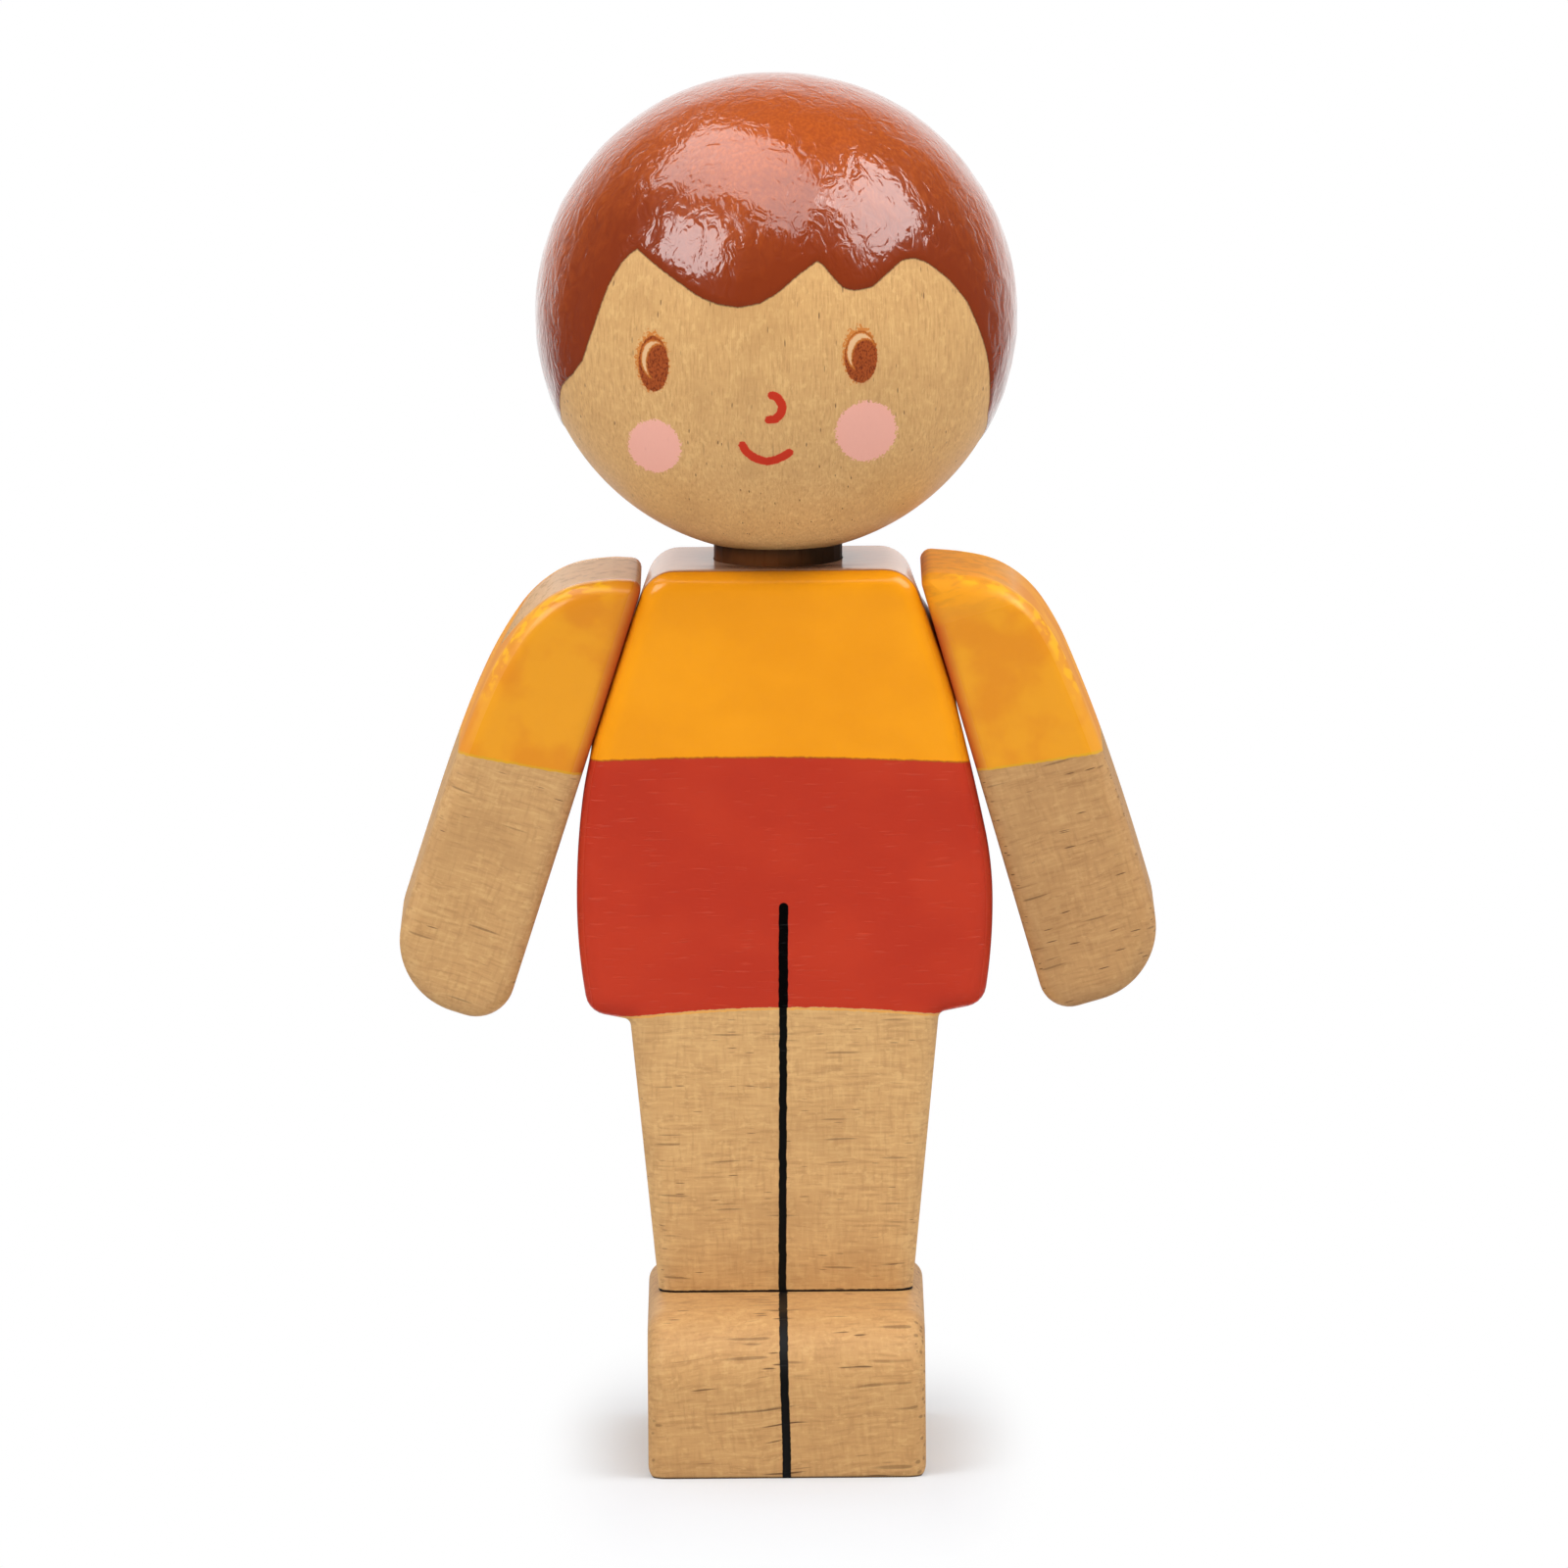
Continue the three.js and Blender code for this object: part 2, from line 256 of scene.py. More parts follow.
paper, tree = new_material("studio_paper")
spot = add(tree, "TexCoord").outputs["Object"]
place = add(tree, "Mapping", {"Vector": spot, "Scale": (1 / MM,) * 3, "Location": (-FEET[1][0], -FEET[1][1], 0)})
place = add(tree, "VectorMath", (place,), operation="ABSOLUTE")
for operation, size in (("SUBTRACT", (*FEET[0], 0)), ("MAXIMUM", (0, 0, 0)), ("DIVIDE", (*SHADOW_REACH, 1))):
    place = add(tree, "VectorMath", (place, size), operation=operation)
distance = add(tree, "VectorMath", (place,), operation="LENGTH").outputs["Value"]
fade = add(tree, "MapRange", (distance, 0, 1, LIT_PAPER), interpolation_type="SMOOTHSTEP")
fade = add(tree, "Math", (fade, direct_view(tree)), operation="MULTIPLY")
matt = add(tree, "BsdfDiffuse", {"Color": linear("#d9dbde")})
outwards = add(tree, "VectorMath", (spot,), operation="NORMALIZE")
lit = backdrop(tree, add(tree, "SeparateXYZ", (outwards,)).outputs["Y"])
lit = add(tree, "Math", (lit, add(tree, "LightPath").outputs["Is Camera Ray"]), operation="MAXIMUM")
shine = add(tree, "Emission", {"Color": (1, 1, 1, 1), "Strength": lit})
add(tree, "OutputMaterial", {"Surface": add(tree, "MixShader", (fade, matt, shine))})

sheet_mesh = bpy.data.meshes.new("floor")
sheet_corners = [(x * SHEET, y * SHEET, 0) for x, y in ((-1, -1), (1, -1), (1, 1), (-1, 1))]
sheet_mesh.from_pydata(sheet_corners, [], [(0, 1, 2, 3)])
sheet_mesh.materials.append(paper)
floor = bpy.data.objects.new("floor", sheet_mesh)
bpy.context.scene.collection.objects.link(floor)
print("paper laid,", 2 * SHEET, "m wide")

# %% White surroundings
FILL = 0.28, 0.92  # light that the surroundings give the object, from the front and from the lit backdrop

world = bpy.data.worlds.new("studio")
world.use_nodes = True
tree = world.node_tree
tree.nodes.clear()
direction = axis_of(tree, "Generated", "Y")
in_camera = add(tree, "LightPath").outputs["Is Camera Ray"]
seen = add(tree, "Math", (backdrop(tree, direction), in_camera), operation="MAXIMUM")
soft = add(tree, "MapRange", (direction, -1, 1, *FILL))
strength = add(tree, "Mix", (direct_view(tree), soft, seen))
sky = add(tree, "Background", {"Color": (1, 1, 1, 1), "Strength": strength})
add(tree, "OutputWorld", {"Surface": sky})
bpy.context.scene.world = world
print("studio ready")

# %% [markdown]
# ## Making boards
# Torso, arms and feet are all sawn from board and then sanded round at the edges. So one way of making them
# serves for all: an outline, drawn as a chain of rounded bends with straight runs between them, gets a
# thickness, and rings of the outline that step inwards make the sanded edge. Where a corner is sharper than
# the sanding, the rings keep its mitre.

# %% Outlines from bends
RUN = 0.35  # mm between points along an outline
BEND_STEPS = 5  # on any one bend, at least
SHARPEST = 0.03  # mm, radius that is left where sanding is wider than a corner


class Bend:
    """Part of an ellipse or circle, given by its centre, half sizes and start and end angles in degrees. From a
    larger to a smaller angle it is hollow."""

    def __init__(self, centre, radius, start, end):
        self.centre = np.array(centre, float)
        self.radius = np.array(radius if np.ndim(radius) else (radius, radius), float)
        length = np.radians(abs(end - start)) * self.radius.mean()
        self.angles = np.radians(np.linspace(start, end, max(BEND_STEPS, round(length / RUN)) + 1))
        self.hollow = end < start

    def points(self, inset):
        circle = np.stack([np.cos(self.angles), np.sin(self.angles)], axis=1)
        outward = circle / self.radius
        outward /= np.linalg.norm(outward, axis=1)[:, None]
        if self.hollow:
            return self.centre + self.radius * circle + outward * inset
        spare = self.radius.min() - SHARPEST - inset
        if spare >= 0:
            return self.centre + self.radius * circle - outward * inset
        middle = (self.angles[0] + self.angles[-1]) / 2
        mitre = np.array([np.cos(middle), np.sin(middle)]) / np.cos((self.angles[-1] - self.angles[0]) / 2)
        return self.centre + spare * mitre + circle * SHARPEST


def sweep(point, angle, *arcs):
    """Bends that carry on from a point and angle, each given as (radius, end angle)."""
    bends = []
    for radius, end in arcs:
        start, stop = (np.array([math.cos(a), math.sin(a)]) for a in np.radians((angle, end)))
        centre = np.array(point) - radius * start
        bends.append(Bend(centre, radius, angle, end))
        point, angle = centre + radius * stop, end
    return bends


def ring(bends, inset):
    """The closed outline, inset by that much, with straight runs between the bends."""
    rows = [bend.points(inset) for bend in bends]
    bare = [bend.points(0) for bend in bends]
    out = []
    for i, row in enumerate(rows):
        after = (i + 1) % len(rows)
        out.append(row)
        count = max(1, round(np.linalg.norm(bare[after][0] - bare[i][-1]) / RUN))
        share = np.linspace(0, 1, count + 1)[1:-1, None]
        out.append(row[-1] * (1 - share) + rows[after][0] * share)
    return np.concatenate(out)


print("a 10 mm ring has", len(ring([Bend((0, 0), 5, 0, 180), Bend((0, 0), 5, 180, 360)], 0)), "points")

# %% [markdown]
# Flat faces are filled with small triangles instead of one big face, so that paint edges can be stored on
# their corners. Rows of points, shifted by half a step as bricks are, keep the triangles even.

# %% Filling a flat face


def inside(points, loop):
    """Which points are inside a closed loop."""
    x, z = points[:, :1], points[:, 1:]
    ax, az = loop[:, 0], loop[:, 1]
    bx, bz = np.roll(ax, -1), np.roll(az, -1)
    crosses = (az > z) != (bz > z)
    with np.errstate(divide="ignore", invalid="ignore"):
        hit = x < (bx - ax) * (z - az) / (bz - az) + ax
    return (crosses & hit).sum(axis=1) % 2 == 1


ROW_HEIGHT, CLEAR_OF_LOOP = 0.87, 0.6  # as shares of the spacing


def fill(loop, spacing):
    """Points and triangles that fill a flat loop evenly."""
    low, high = loop.min(axis=0), loop.max(axis=0)
    columns, rows = np.arange(low[0], high[0], spacing), np.arange(low[1], high[1], spacing * ROW_HEIGHT)
    grid = np.array([(x + (spacing / 2 if j % 2 else 0), z) for j, z in enumerate(rows) for x in columns])
    grid = grid[inside(grid, loop)]
    gap = np.min(np.linalg.norm(grid[:, None] - loop[None], axis=2), axis=1)
    every = np.concatenate([loop, grid[gap > spacing * CLEAR_OF_LOOP]])
    points, _, triangles, *_ = geometry.delaunay_2d_cdt(
        [Vector(p) for p in every], [], [list(range(len(loop)))], 1, 1e-6)
    return np.array(points), triangles


square = np.array([(0, 0), (2, 0), (2, 2), (0, 2)], float)
print("a 2 mm square fills with", len(fill(square, 0.5)[1]), "triangles")

# %% [markdown]
# A board is a stack of rings, closed by a filled face in front and behind. A turned piece is a profile that
# goes round an axis, as on a lathe.

# %% Boards and turned pieces
EDGE_STEPS = 8  # rings across a sanded edge
WALL_STEP = 0.5  # mm between rings on the straight part of a board's edge


def board(bends, thickness, edge, spacing=0.45):
    """Points (across, through, up) in mm and faces of a board with sanded edges."""
    half = thickness / 2
    turns = np.radians(np.linspace(0, 90, EDGE_STEPS + 1))
    rounding = [(edge * (1 - np.cos(t)), half - edge + edge * np.sin(t)) for t in turns]
    flat = half - edge
    walls = [(0, y) for y in np.linspace(-flat, flat, max(2, round(2 * flat / WALL_STEP)))[1:-1]]
    levels = [(inset, -y) for inset, y in reversed(rounding)] + walls + rounding
    loops = [ring(bends, inset) for inset, _ in levels]
    points = [np.insert(loop, 1, y, axis=1) for loop, (_, y) in zip(loops, levels)]
    size = len(loops[0])
    faces = []
    for level in range(len(levels) - 1):
        for i in range(size):
            a, b = level * size + i, level * size + (i + 1) % size
            faces.append((a, a + size, b + size, b))
    flat_points, triangles = fill(loops[0], spacing)
    for y, turn in ((-half, 1), (half, -1)):
        base = sum(len(p) for p in points)
        points.append(np.insert(flat_points, 1, y, axis=1))
        faces += [tuple(base + i for i in t[::turn]) for t in triangles]
    return np.concatenate(points), faces


def turned(profile, sides):
    """Points and faces of a piece turned on a lathe. profile is (radius, height), from one end of the axis to the
    other, and turns counterclockwise round the material."""
    angles = np.arange(sides) * 2 * np.pi / sides
    points, faces, rows = [], [], []
    for radius, height in profile:
        if radius < 1e-6:
            rows.append([len(points)] * sides)
            points.append((0, 0, height))
        else:
            rows.append(list(range(len(points), len(points) + sides)))
            points += [(radius * np.sin(a), -radius * np.cos(a), height) for a in angles]
    for low, high in zip(rows, rows[1:]):
        for i in range(sides):
            j = (i + 1) % sides
            corners = list(dict.fromkeys((low[i], low[j], high[j], high[i])))
            if len(corners) > 2:
                faces.append(tuple(corners))
    return np.array(points, float), faces


print("a sanded edge has", EDGE_STEPS, "steps")

# %% [markdown]
# A piece is a mesh in millimetres that is scaled to metres as it is made. Its smooth shading stops at sharp
# edges, such as a saw cut or the rim of a drilled hole. Holes are drilled with boolean cutters, which are
# thrown away afterwards.

# %% Pieces and drilled holes
HOLE_SIDES = 64
SHARP = 35  # degrees between two faces from which their edge looks sharp


def make(name, points, faces):
    """An object from points in mm, with coincident points welded."""
    mesh = bpy.data.meshes.new(name)
    mesh.from_pydata([tuple(p) for p in np.asarray(points) * MM], [], faces)
    obj = bpy.data.objects.new(name, mesh)
    bpy.context.scene.collection.objects.link(obj)
    weld = obj.modifiers.new("weld", "WELD")
    weld.merge_threshold = 1e-7
    settle(obj)
    return obj


def settle(obj):
    """Applies the modifiers of an object."""
    done = obj.evaluated_get(bpy.context.evaluated_depsgraph_get())
    mesh = bpy.data.meshes.new_from_object(done)
    obj.modifiers.clear()
    obj.data = mesh


def drill(obj, *cutters):
    """Cuts holes, each given as (radius, from, to, place), where place turns a cutter along Z to its hole."""
    for radius, start, end, place in cutters:
        profile = [(0, start), (radius, start), (radius, end), (0, end)]
        points, faces = turned(profile, HOLE_SIDES)
        cutter = make("cutter", points, faces)
        cutter.data.transform(place)
        cut = obj.modifiers.new("drill", "BOOLEAN")
        cut.operation, cut.solver, cut.object = "DIFFERENCE", "EXACT", cutter
        settle(obj)
        bpy.data.objects.remove(cutter)


def saw_flat(obj, height):
    """Takes off all that is below a height in mm, with a cutter set off a little so that no edges coincide."""
    drill(obj, (60, -20, 0, shifted(0.3, 0.2, height)))


def corners(obj):
    """The mesh points of an object in mm."""
    flat = np.empty(len(obj.data.vertices) * 3, np.float32)
    obj.data.vertices.foreach_get("co", flat)
    return flat.reshape(-1, 3).astype(float) / MM


def move_corners(obj, points):
    obj.data.vertices.foreach_set("co", (np.asarray(points) * MM).astype(np.float32).ravel())
    obj.data.update()


def store(obj, name, values):
    """Keeps one number for each mesh point, for a material to read."""
    numbers = obj.data.attributes.new(name, "FLOAT", "POINT")
    numbers.data.foreach_set("value", np.asarray(values, np.float32))


def dress(obj, material):
    """Gives an object one material."""
    obj.data.materials.clear()
    obj.data.materials.append(material)


def finish_piece(obj, material, body, node):
    """Smooth shading, material and the place of a piece in the frame."""
    obj.data.shade_smooth()
    obj.data.set_sharp_from_angle(angle=math.radians(SHARP))
    dress(obj, material)
    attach(obj, body)
    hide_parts(node)
    print(obj.name, len(obj.data.vertices), "points,", len(obj.data.polygons), "faces")


def shifted(x, y, z):
    """A place in mm."""
    return Matrix.Translation(Vector((x, y, z)) * MM)


print("piece helpers ready")

# %% [markdown]
# ## Bare wood
# Rubberwood is a pale hardwood with short dark pores that run along its fibres, fine streaks between them and
# small flecks across them. The lacquer over it is a thin satin film that warms the colour. All of it comes
# from noise that is stretched by the real length and width of each feature, in millimetres along the fibres,
# through the board and across the fibres. Pores are cells of a Voronoi pattern, of which only a few get ink.

# %% Patterns with real sizes
UPRIGHT = (0, math.radians(90), 0)  # turns fibres from the X axis to the Z axis


def stretched(tree, place, size, start=(0, 0, 0)):
    """Coordinates that repeat about once per size, in mm."""
    return add(tree, "Mapping", {"Vector": place, "Scale": [1 / s for s in size], "Location": start})


def patches(tree, place, size, start=(0, 0, 0), detail=2.0, **more):
    """Soft noise from 0 to 1, in patches of about that size in mm."""
    place = stretched(tree, place, size, start)
    return add(tree, "TexNoise", {"Vector": place, "Scale": 1.0, "Detail": detail, **more})


def specks(tree, place, size, empty, start=(0, 0, 0), fade=0.06, rim=(0.4, 0.15)):
    """Separate dots or dashes, one in each cell of that size in mm, apart from the share of cells that stay empty.
    rim is where a dot begins and where it is full, as a share of its cell."""
    cell = add(tree, "TexVoronoi", {"Vector": stretched(tree, place, size, start), "Scale": 1.0})
    pick = add(tree, "SeparateColor", (cell.outputs["Color"],)).outputs["Red"]
    return where(tree, (cell.outputs["Distance"], *rim), (pick, empty, empty + fade))


def around_zero(tree, pattern, reach):
    """A pattern that goes as far above zero as below, over that reach in all."""
    return total(tree, -reach / 2, (pattern, reach))


print("patterns ready")

# %% Wood grain
WOOD, PALE, DEEP, PORE, AGED = "#cfa168", "#deb478", "#b98c58", "#65452a", "#dfd6d2"


def grain(tree, tilt=(0, 0, 0), start=(0, 0, 0), pore=(1.0, 0.4, 0.12), few=0.93, vessel=(3.5, 1.0, 0.25), rare=0.85,
          fibre=(2.0, 0.7, 0.22), wavy=0.25, rays=1.0, aged=0.0):
    """Colour and height of bare wood, and places on it in mm. tilt turns the fibres away from the piece's X axis. few
    and rare say how many cells of the short pores and of the long faint vessels stay empty, rays how strong the
    flecks across the fibres are, and aged how far the wood has darkened."""
    place = add(tree, "TexCoord").outputs["Object"]
    place = add(tree, "Mapping", {"Vector": place, "Scale": (1 / MM,) * 3, "Rotation": tilt})
    bend = patches(tree, place, (5, 5, 5), start, 1.0).outputs["Color"]
    bend = add(tree, "VectorMath", (bend, (0.5, 0.5, 0.5)), operation="SUBTRACT")
    bend = add(tree, "VectorMath", {"Vector": bend, "Scale": wavy * 2}, operation="SCALE")
    place = add(tree, "VectorMath", (place, bend), operation="ADD")
    along, ray, fleck, cloud = (
        patches(tree, place, size, start, detail, Roughness=0.6)
        for size, detail in ((fibre, 3.0), ((0.3, 0.5, 1.8), 2.0), ((0.6, 0.5, 0.35), 2.0), ((5, 4, 4), 2.0)))
    vessels, pores = specks(tree, place, vessel, rare, start), specks(tree, place, pore, few, start)
    tone = WOOD
    for pattern, low, high, strength, shade in (
        (along, 0.5, 0.3, 0.75, DEEP), (along, 0.52, 0.7, 0.6, PALE), (ray, 0.52, 0.7, 0.45 * rays, DEEP),
        (ray, 0.48, 0.3, 0.35 * rays, PALE), (fleck, 0.54, 0.7, 0.6, PALE), (cloud, 0.5, 0.7, 0.35, DEEP),
        (vessels, 0, 1, 0.5, PORE), (pores, 0, 1, 0.85, PORE),
    ):
        tone = layer(tree, tone, where(tree, (pattern, low, high)), shade, strength)
    tone = add(tree, "Mix", (aged, tone, linear(AGED)), data_type="RGBA", blend_type="MULTIPLY")
    return tone, total(tree, 0.0, (vessels, -0.4), (pores, -0.8), (along, 0.35)), place


def lacquered(tree, colour, height, depth, roughness, shine=0.5):
    """Lacquer over a colour, with relief of that depth in mm. A shine of 0.5 is plain lacquer."""
    relief = add(tree, "Bump", {"Height": height, "Distance": depth * MM, "Strength": 1.0})
    surface = add(tree, "BsdfPrincipled", {"Base Color": colour, "Roughness": roughness, "IOR": 1.5,
                                           "Specular IOR Level": shine, "Normal": relief, "Coat Normal": relief})
    add(tree, "OutputMaterial", {"Surface": surface})
    return surface


print("bare wood from", len((WOOD, PALE, DEEP, PORE, AGED)), "colours")

# %% [markdown]
# ## Head
# The head is a stock ball, turned on a lathe and drilled from below for the neck. Its profile goes up the
# drilled hole's wall, round its rim and over the ball to the crown. Hair paint is thick, brushed on and
# glossy, so it stands proud of the wood and is a little lumpy, and that relief is real mesh.

# %% Where the paint goes on the head
BALL = 14.92  # mm, radius of the wood
NECK_HOLE = 4.3, 11.3  # mm, radius and depth from the hole's rim

# The lower edge of the hair, as (degrees round from the front, mm above the ball's middle)
HAIRLINE = [
    (-180, -11.0), (-150, -10.8), (-125, -10.0), (-100, -8.2), (-77.5, -5.81), (-67.3, -3.76), (-59.0, -2.71),
    (-53.7, -1.71), (-48.7, 0.56), (-45.0, 3.11), (-41.8, 4.59), (-38.1, 5.48), (-31.5, 4.58), (-24.4, 3.61),
    (-18.8, 2.77), (-13.9, 2.33), (-8.9, 2.18), (-3.9, 2.42), (0.8, 3.13), (5.1, 4.06), (10.9, 5.01),
    (13.4, 4.18), (16.1, 3.32), (19.0, 3.06), (23.9, 3.23), (28.5, 3.99), (33.0, 4.68), (36.9, 4.78),
    (40.9, 4.41), (46.8, 3.32), (52.5, 1.80), (57.1, -0.10), (62.3, -2.15), (66.4, -3.94), (72.2, -5.86),
    (84.9, -7.73), (105, -9.4), (130, -10.4), (155, -10.9), (180, -11.0),
]

# Painted rounds, as (x, z, half width, half height) in mm from the ball's middle, seen from the front. The glint
# in each eye is the part of its outer round that its inner round doesn't cover.
ROUNDS = {
    "eyes": [(-7.57, -1.52, 0.93, 1.76), (5.20, -1.04, 1.02, 1.64)],
    "glint_outer": [(-7.55, -1.22, 0.75, 1.14), (5.20, -0.70, 0.84, 1.13)],
    "glint_inner": [(-7.22, -1.48, 0.84, 1.30), (5.46, -1.10, 0.86, 1.24)],
    "lashes": [(-7.64, -1.36, 1.0, 1.87), (5.11, -0.85, 1.04, 1.72)],
    "cheeks": [(-7.57, -6.90, 1.64, 1.77), (5.50, -5.83, 1.88, 1.98)],
}

# Brush strokes, as points (x, z) in mm and half the width of the brush mark
NOSE = [(-0.31, -3.28), (0.02, -3.41), (0.26, -3.76), (0.35, -4.1), (0.22, -4.51), (-0.08, -4.83), (-0.5, -4.86)]
MOUTH = [(-2.14, -6.54), (-1.89, -6.99), (-1.45, -7.35), (-1.01, -7.55), (-0.58, -7.61), (-0.1, -7.51),
         (0.34, -7.31), (0.74, -7.04)]
STROKE = 0.27
print("hairline from", len(HAIRLINE), "points,", len(ROUNDS), "kinds of painted rounds")

# %% Turn the ball
BALL_SIDES, BALL_ROWS = 420, 190
rim_angle = math.asin(NECK_HOLE[0] / BALL)
rim = -BALL * math.cos(rim_angle)
hole_wall = [(NECK_HOLE[0], z) for z in np.linspace(rim + NECK_HOLE[1], rim, 12)]
over = [(BALL * math.sin(a), -BALL * math.cos(a)) for a in np.linspace(rim_angle, math.pi, BALL_ROWS + 1)[1:]]
points, faces = turned([(0, rim + NECK_HOLE[1])] + hole_wall + over[:-1] + [(0, BALL)], BALL_SIDES)
head = make("head_ball", points, faces)
head.location = head_centre
print("ball", len(head.data.vertices), "points, rim", round(rim, 2), "mm below its middle")

# %% [markdown]
# Each paint's edge is stored on the mesh as a distance: above zero inside the paint and below zero outside.
# A material can then cut a sharp or a ragged edge from it, finer than the mesh itself.

# %% Distances to the paint's edges
FAR = -9.0  # mm, stored where a paint is nowhere near


def to_line(points, line):
    """Least distance from each point to a chain of points."""
    best = np.full(len(points), np.inf)
    for a, b in zip(line[:-1], line[1:]):
        run = b - a
        share = np.clip((points - a) @ run / (run @ run), 0, 1)
        best = np.minimum(best, np.linalg.norm(points - a - share[:, None] * run, axis=1))
    return best


def hair_depth(points):
    """How far inside the hair paint each point is, in mm. Outside it is negative."""
    turn, height = np.array(HAIRLINE).T
    fine = np.arange(-180, 180.1, 1.5)
    edge = np.interp(fine, turn, height)
    width = np.sqrt(BALL ** 2 - edge ** 2)
    line = np.stack([width * np.sin(np.radians(fine)), -width * np.cos(np.radians(fine)), edge], axis=1)
    here = np.degrees(np.arctan2(points[:, 0], -points[:, 1]))
    above = points[:, 2] > np.interp(here, turn, height)
    return np.where(above, 1, -1) * to_line(points, line)


def round_depth(points, rounds):
    """The same for painted rounds on the front of the ball."""
    best = np.full(len(points), FAR)
    for x, z, wide, high in rounds:
        out = np.hypot((points[:, 0] - x) / wide, (points[:, 2] - z) / high)
        best = np.maximum(best, (1 - out) * min(wide, high))
    return np.where(points[:, 1] < 0, best, FAR)


def stroke_depth(points, *strokes):
    """The same for brush strokes on the front of the ball."""
    flat = points[:, [0, 2]]
    best = np.max([STROKE - to_line(flat, np.array(stroke)) for stroke in strokes], axis=0)
    return np.where(points[:, 1] < 0, best, FAR)


print("distances kept down to", FAR, "mm")

# %% Lay the paint on the ball
PAINT_FILM = 0.09  # mm
LUMPS = 0.045  # mm
COARSE, FINE = 2.6, 1.2  # mm, sizes of the lumps
FILM_FROM, FILM_TO = -0.1, 0.3  # mm inside the paint's edge, where its thickness begins and where it is full

at = corners(head)
outside = np.linalg.norm(at, axis=1) > BALL - 0.01
hair = np.where(outside, hair_depth(at), FAR)
store(head, "hair", hair)
for name, rounds in ROUNDS.items():
    store(head, name, round_depth(at, rounds))
store(head, "strokes", stroke_depth(at, NOSE, MOUTH))

lump = np.array([noise.noise(Vector(p) / COARSE) + 0.5 * noise.noise(Vector(p) / FINE) for p in at])
film = np.clip((hair - FILM_FROM) / (FILM_TO - FILM_FROM), 0, 1)
film = film * film * (3 - 2 * film) * (PAINT_FILM + LUMPS * lump)
move_corners(head, at * (1 + film / BALL)[:, None])
print("hair paint covers", round(100 * np.mean(hair[outside] > 0)), "% of the mesh points")

# %% [markdown]
# Each edge of paint is cut by a slightly ragged threshold on the stored distance. The same distances also make
# fringes, where a paint lies thin or dark along its edge.

# %% Ragged edges


def kept(tree, name):
    """What was stored on the mesh under that name."""
    return add(tree, "Attribute", attribute_name=name).outputs["Fac"]


def painted(tree, name, ragged, rough=1.0, soft=0.03):
    """1 where that paint lies, with an edge as rough and as soft, in mm, as given."""
    return where(tree, (total(tree, kept(tree, name), (ragged, rough)), -soft, soft))


def fringe(tree, name, ragged, middle, reach, full):
    """1 along a line that far inside a paint's edge. It begins at reach from the line and is full closer by."""
    off = total(tree, kept(tree, name), (ragged, 1.0), (middle, -1.0))
    return where(tree, (add(tree, "Math", (off,), operation="ABSOLUTE"), reach, full))


print("edge helpers ready")

# %% [markdown]
# The head is rubberwood with short pores that run down the face. The eyes, the mouth and the nose are printed
# flat on it in brown and red, and the cheeks are a thin pink. Together they look matt beside the hair.

# %% Bare wood and face
EYE_BROWN, EYE_DARK, EYE_RIM, GLINT = "#a34c1e", "#6b2a0e", "#e08c34", "#dcb182"
LASH_ORANGE, CHEEK_PINK, LIP_RED = "#c8742a", "#eaaa9b", "#c23018"

painted_head, tree = new_material("enamelled_rubberwood_head")
bare, bare_height, place = grain(tree, tilt=UPRIGHT, pore=(0.8, 0.3, 0.13), few=0.94, rare=0.96,
                                 fibre=(1.1, 0.3, 0.11), rays=0.35, start=(3, 1, 2))
ragged = around_zero(tree, patches(tree, place, (0.16, 0.16, 0.16)), 0.12)
tone = layer(tree, bare, painted(tree, "cheeks", ragged, rough=6.0), CHEEK_PINK, 0.93)
tone = layer(tree, tone, painted(tree, "lashes", ragged, rough=7.0, soft=0.05), LASH_ORANGE, 0.85)
speckle = patches(tree, place, (0.16, 0.1, 0.09))
brown = layer(tree, EYE_DARK, where(tree, (speckle, 0.3, 0.6)), EYE_BROWN)
eye = layer(tree, tone, painted(tree, "eyes", ragged), brown)
outside_inner = add(tree, "Math", (kept(tree, "glint_inner"), -1.0), operation="MULTIPLY")
glint = add(tree, "Math", (kept(tree, "glint_outer"), outside_inner), operation="MINIMUM")
glint = total(tree, glint, (ragged, 1.0))
eye = layer(tree, eye, where(tree, (glint, -0.12, -0.02)), EYE_RIM, 0.5)
tone = layer(tree, eye, where(tree, (glint, -0.03, 0.05)), GLINT)
tone = layer(tree, tone, painted(tree, "strokes", ragged), LIP_RED)
print("face painted with", len(tree.nodes), "nodes so far")

# %% [markdown]
# The hair paint is an enamel with brush marks: fine ridges that run down the sides, wrinkles and small pits
# where it dried over the grain. It is thick and wet-looking, so it gets a clear coat of its own, which breaks
# up the softboxes' reflections. Near its lower edge it is painted a deeper red-brown, as painted shade that
# leaves the crown lighter, and a dark line along that edge is painted shade under the paint's lip.

# %% Hair enamel
HAIR, HAIR_DEEP, HAIR_LOW_SHADE, HAIR_EDGE_SHADE = "#b9571c", "#a74a19", "#84310f", "#5a2a16"
RELIEF = 2.1  # how strong the enamel's relief is beside the wood's

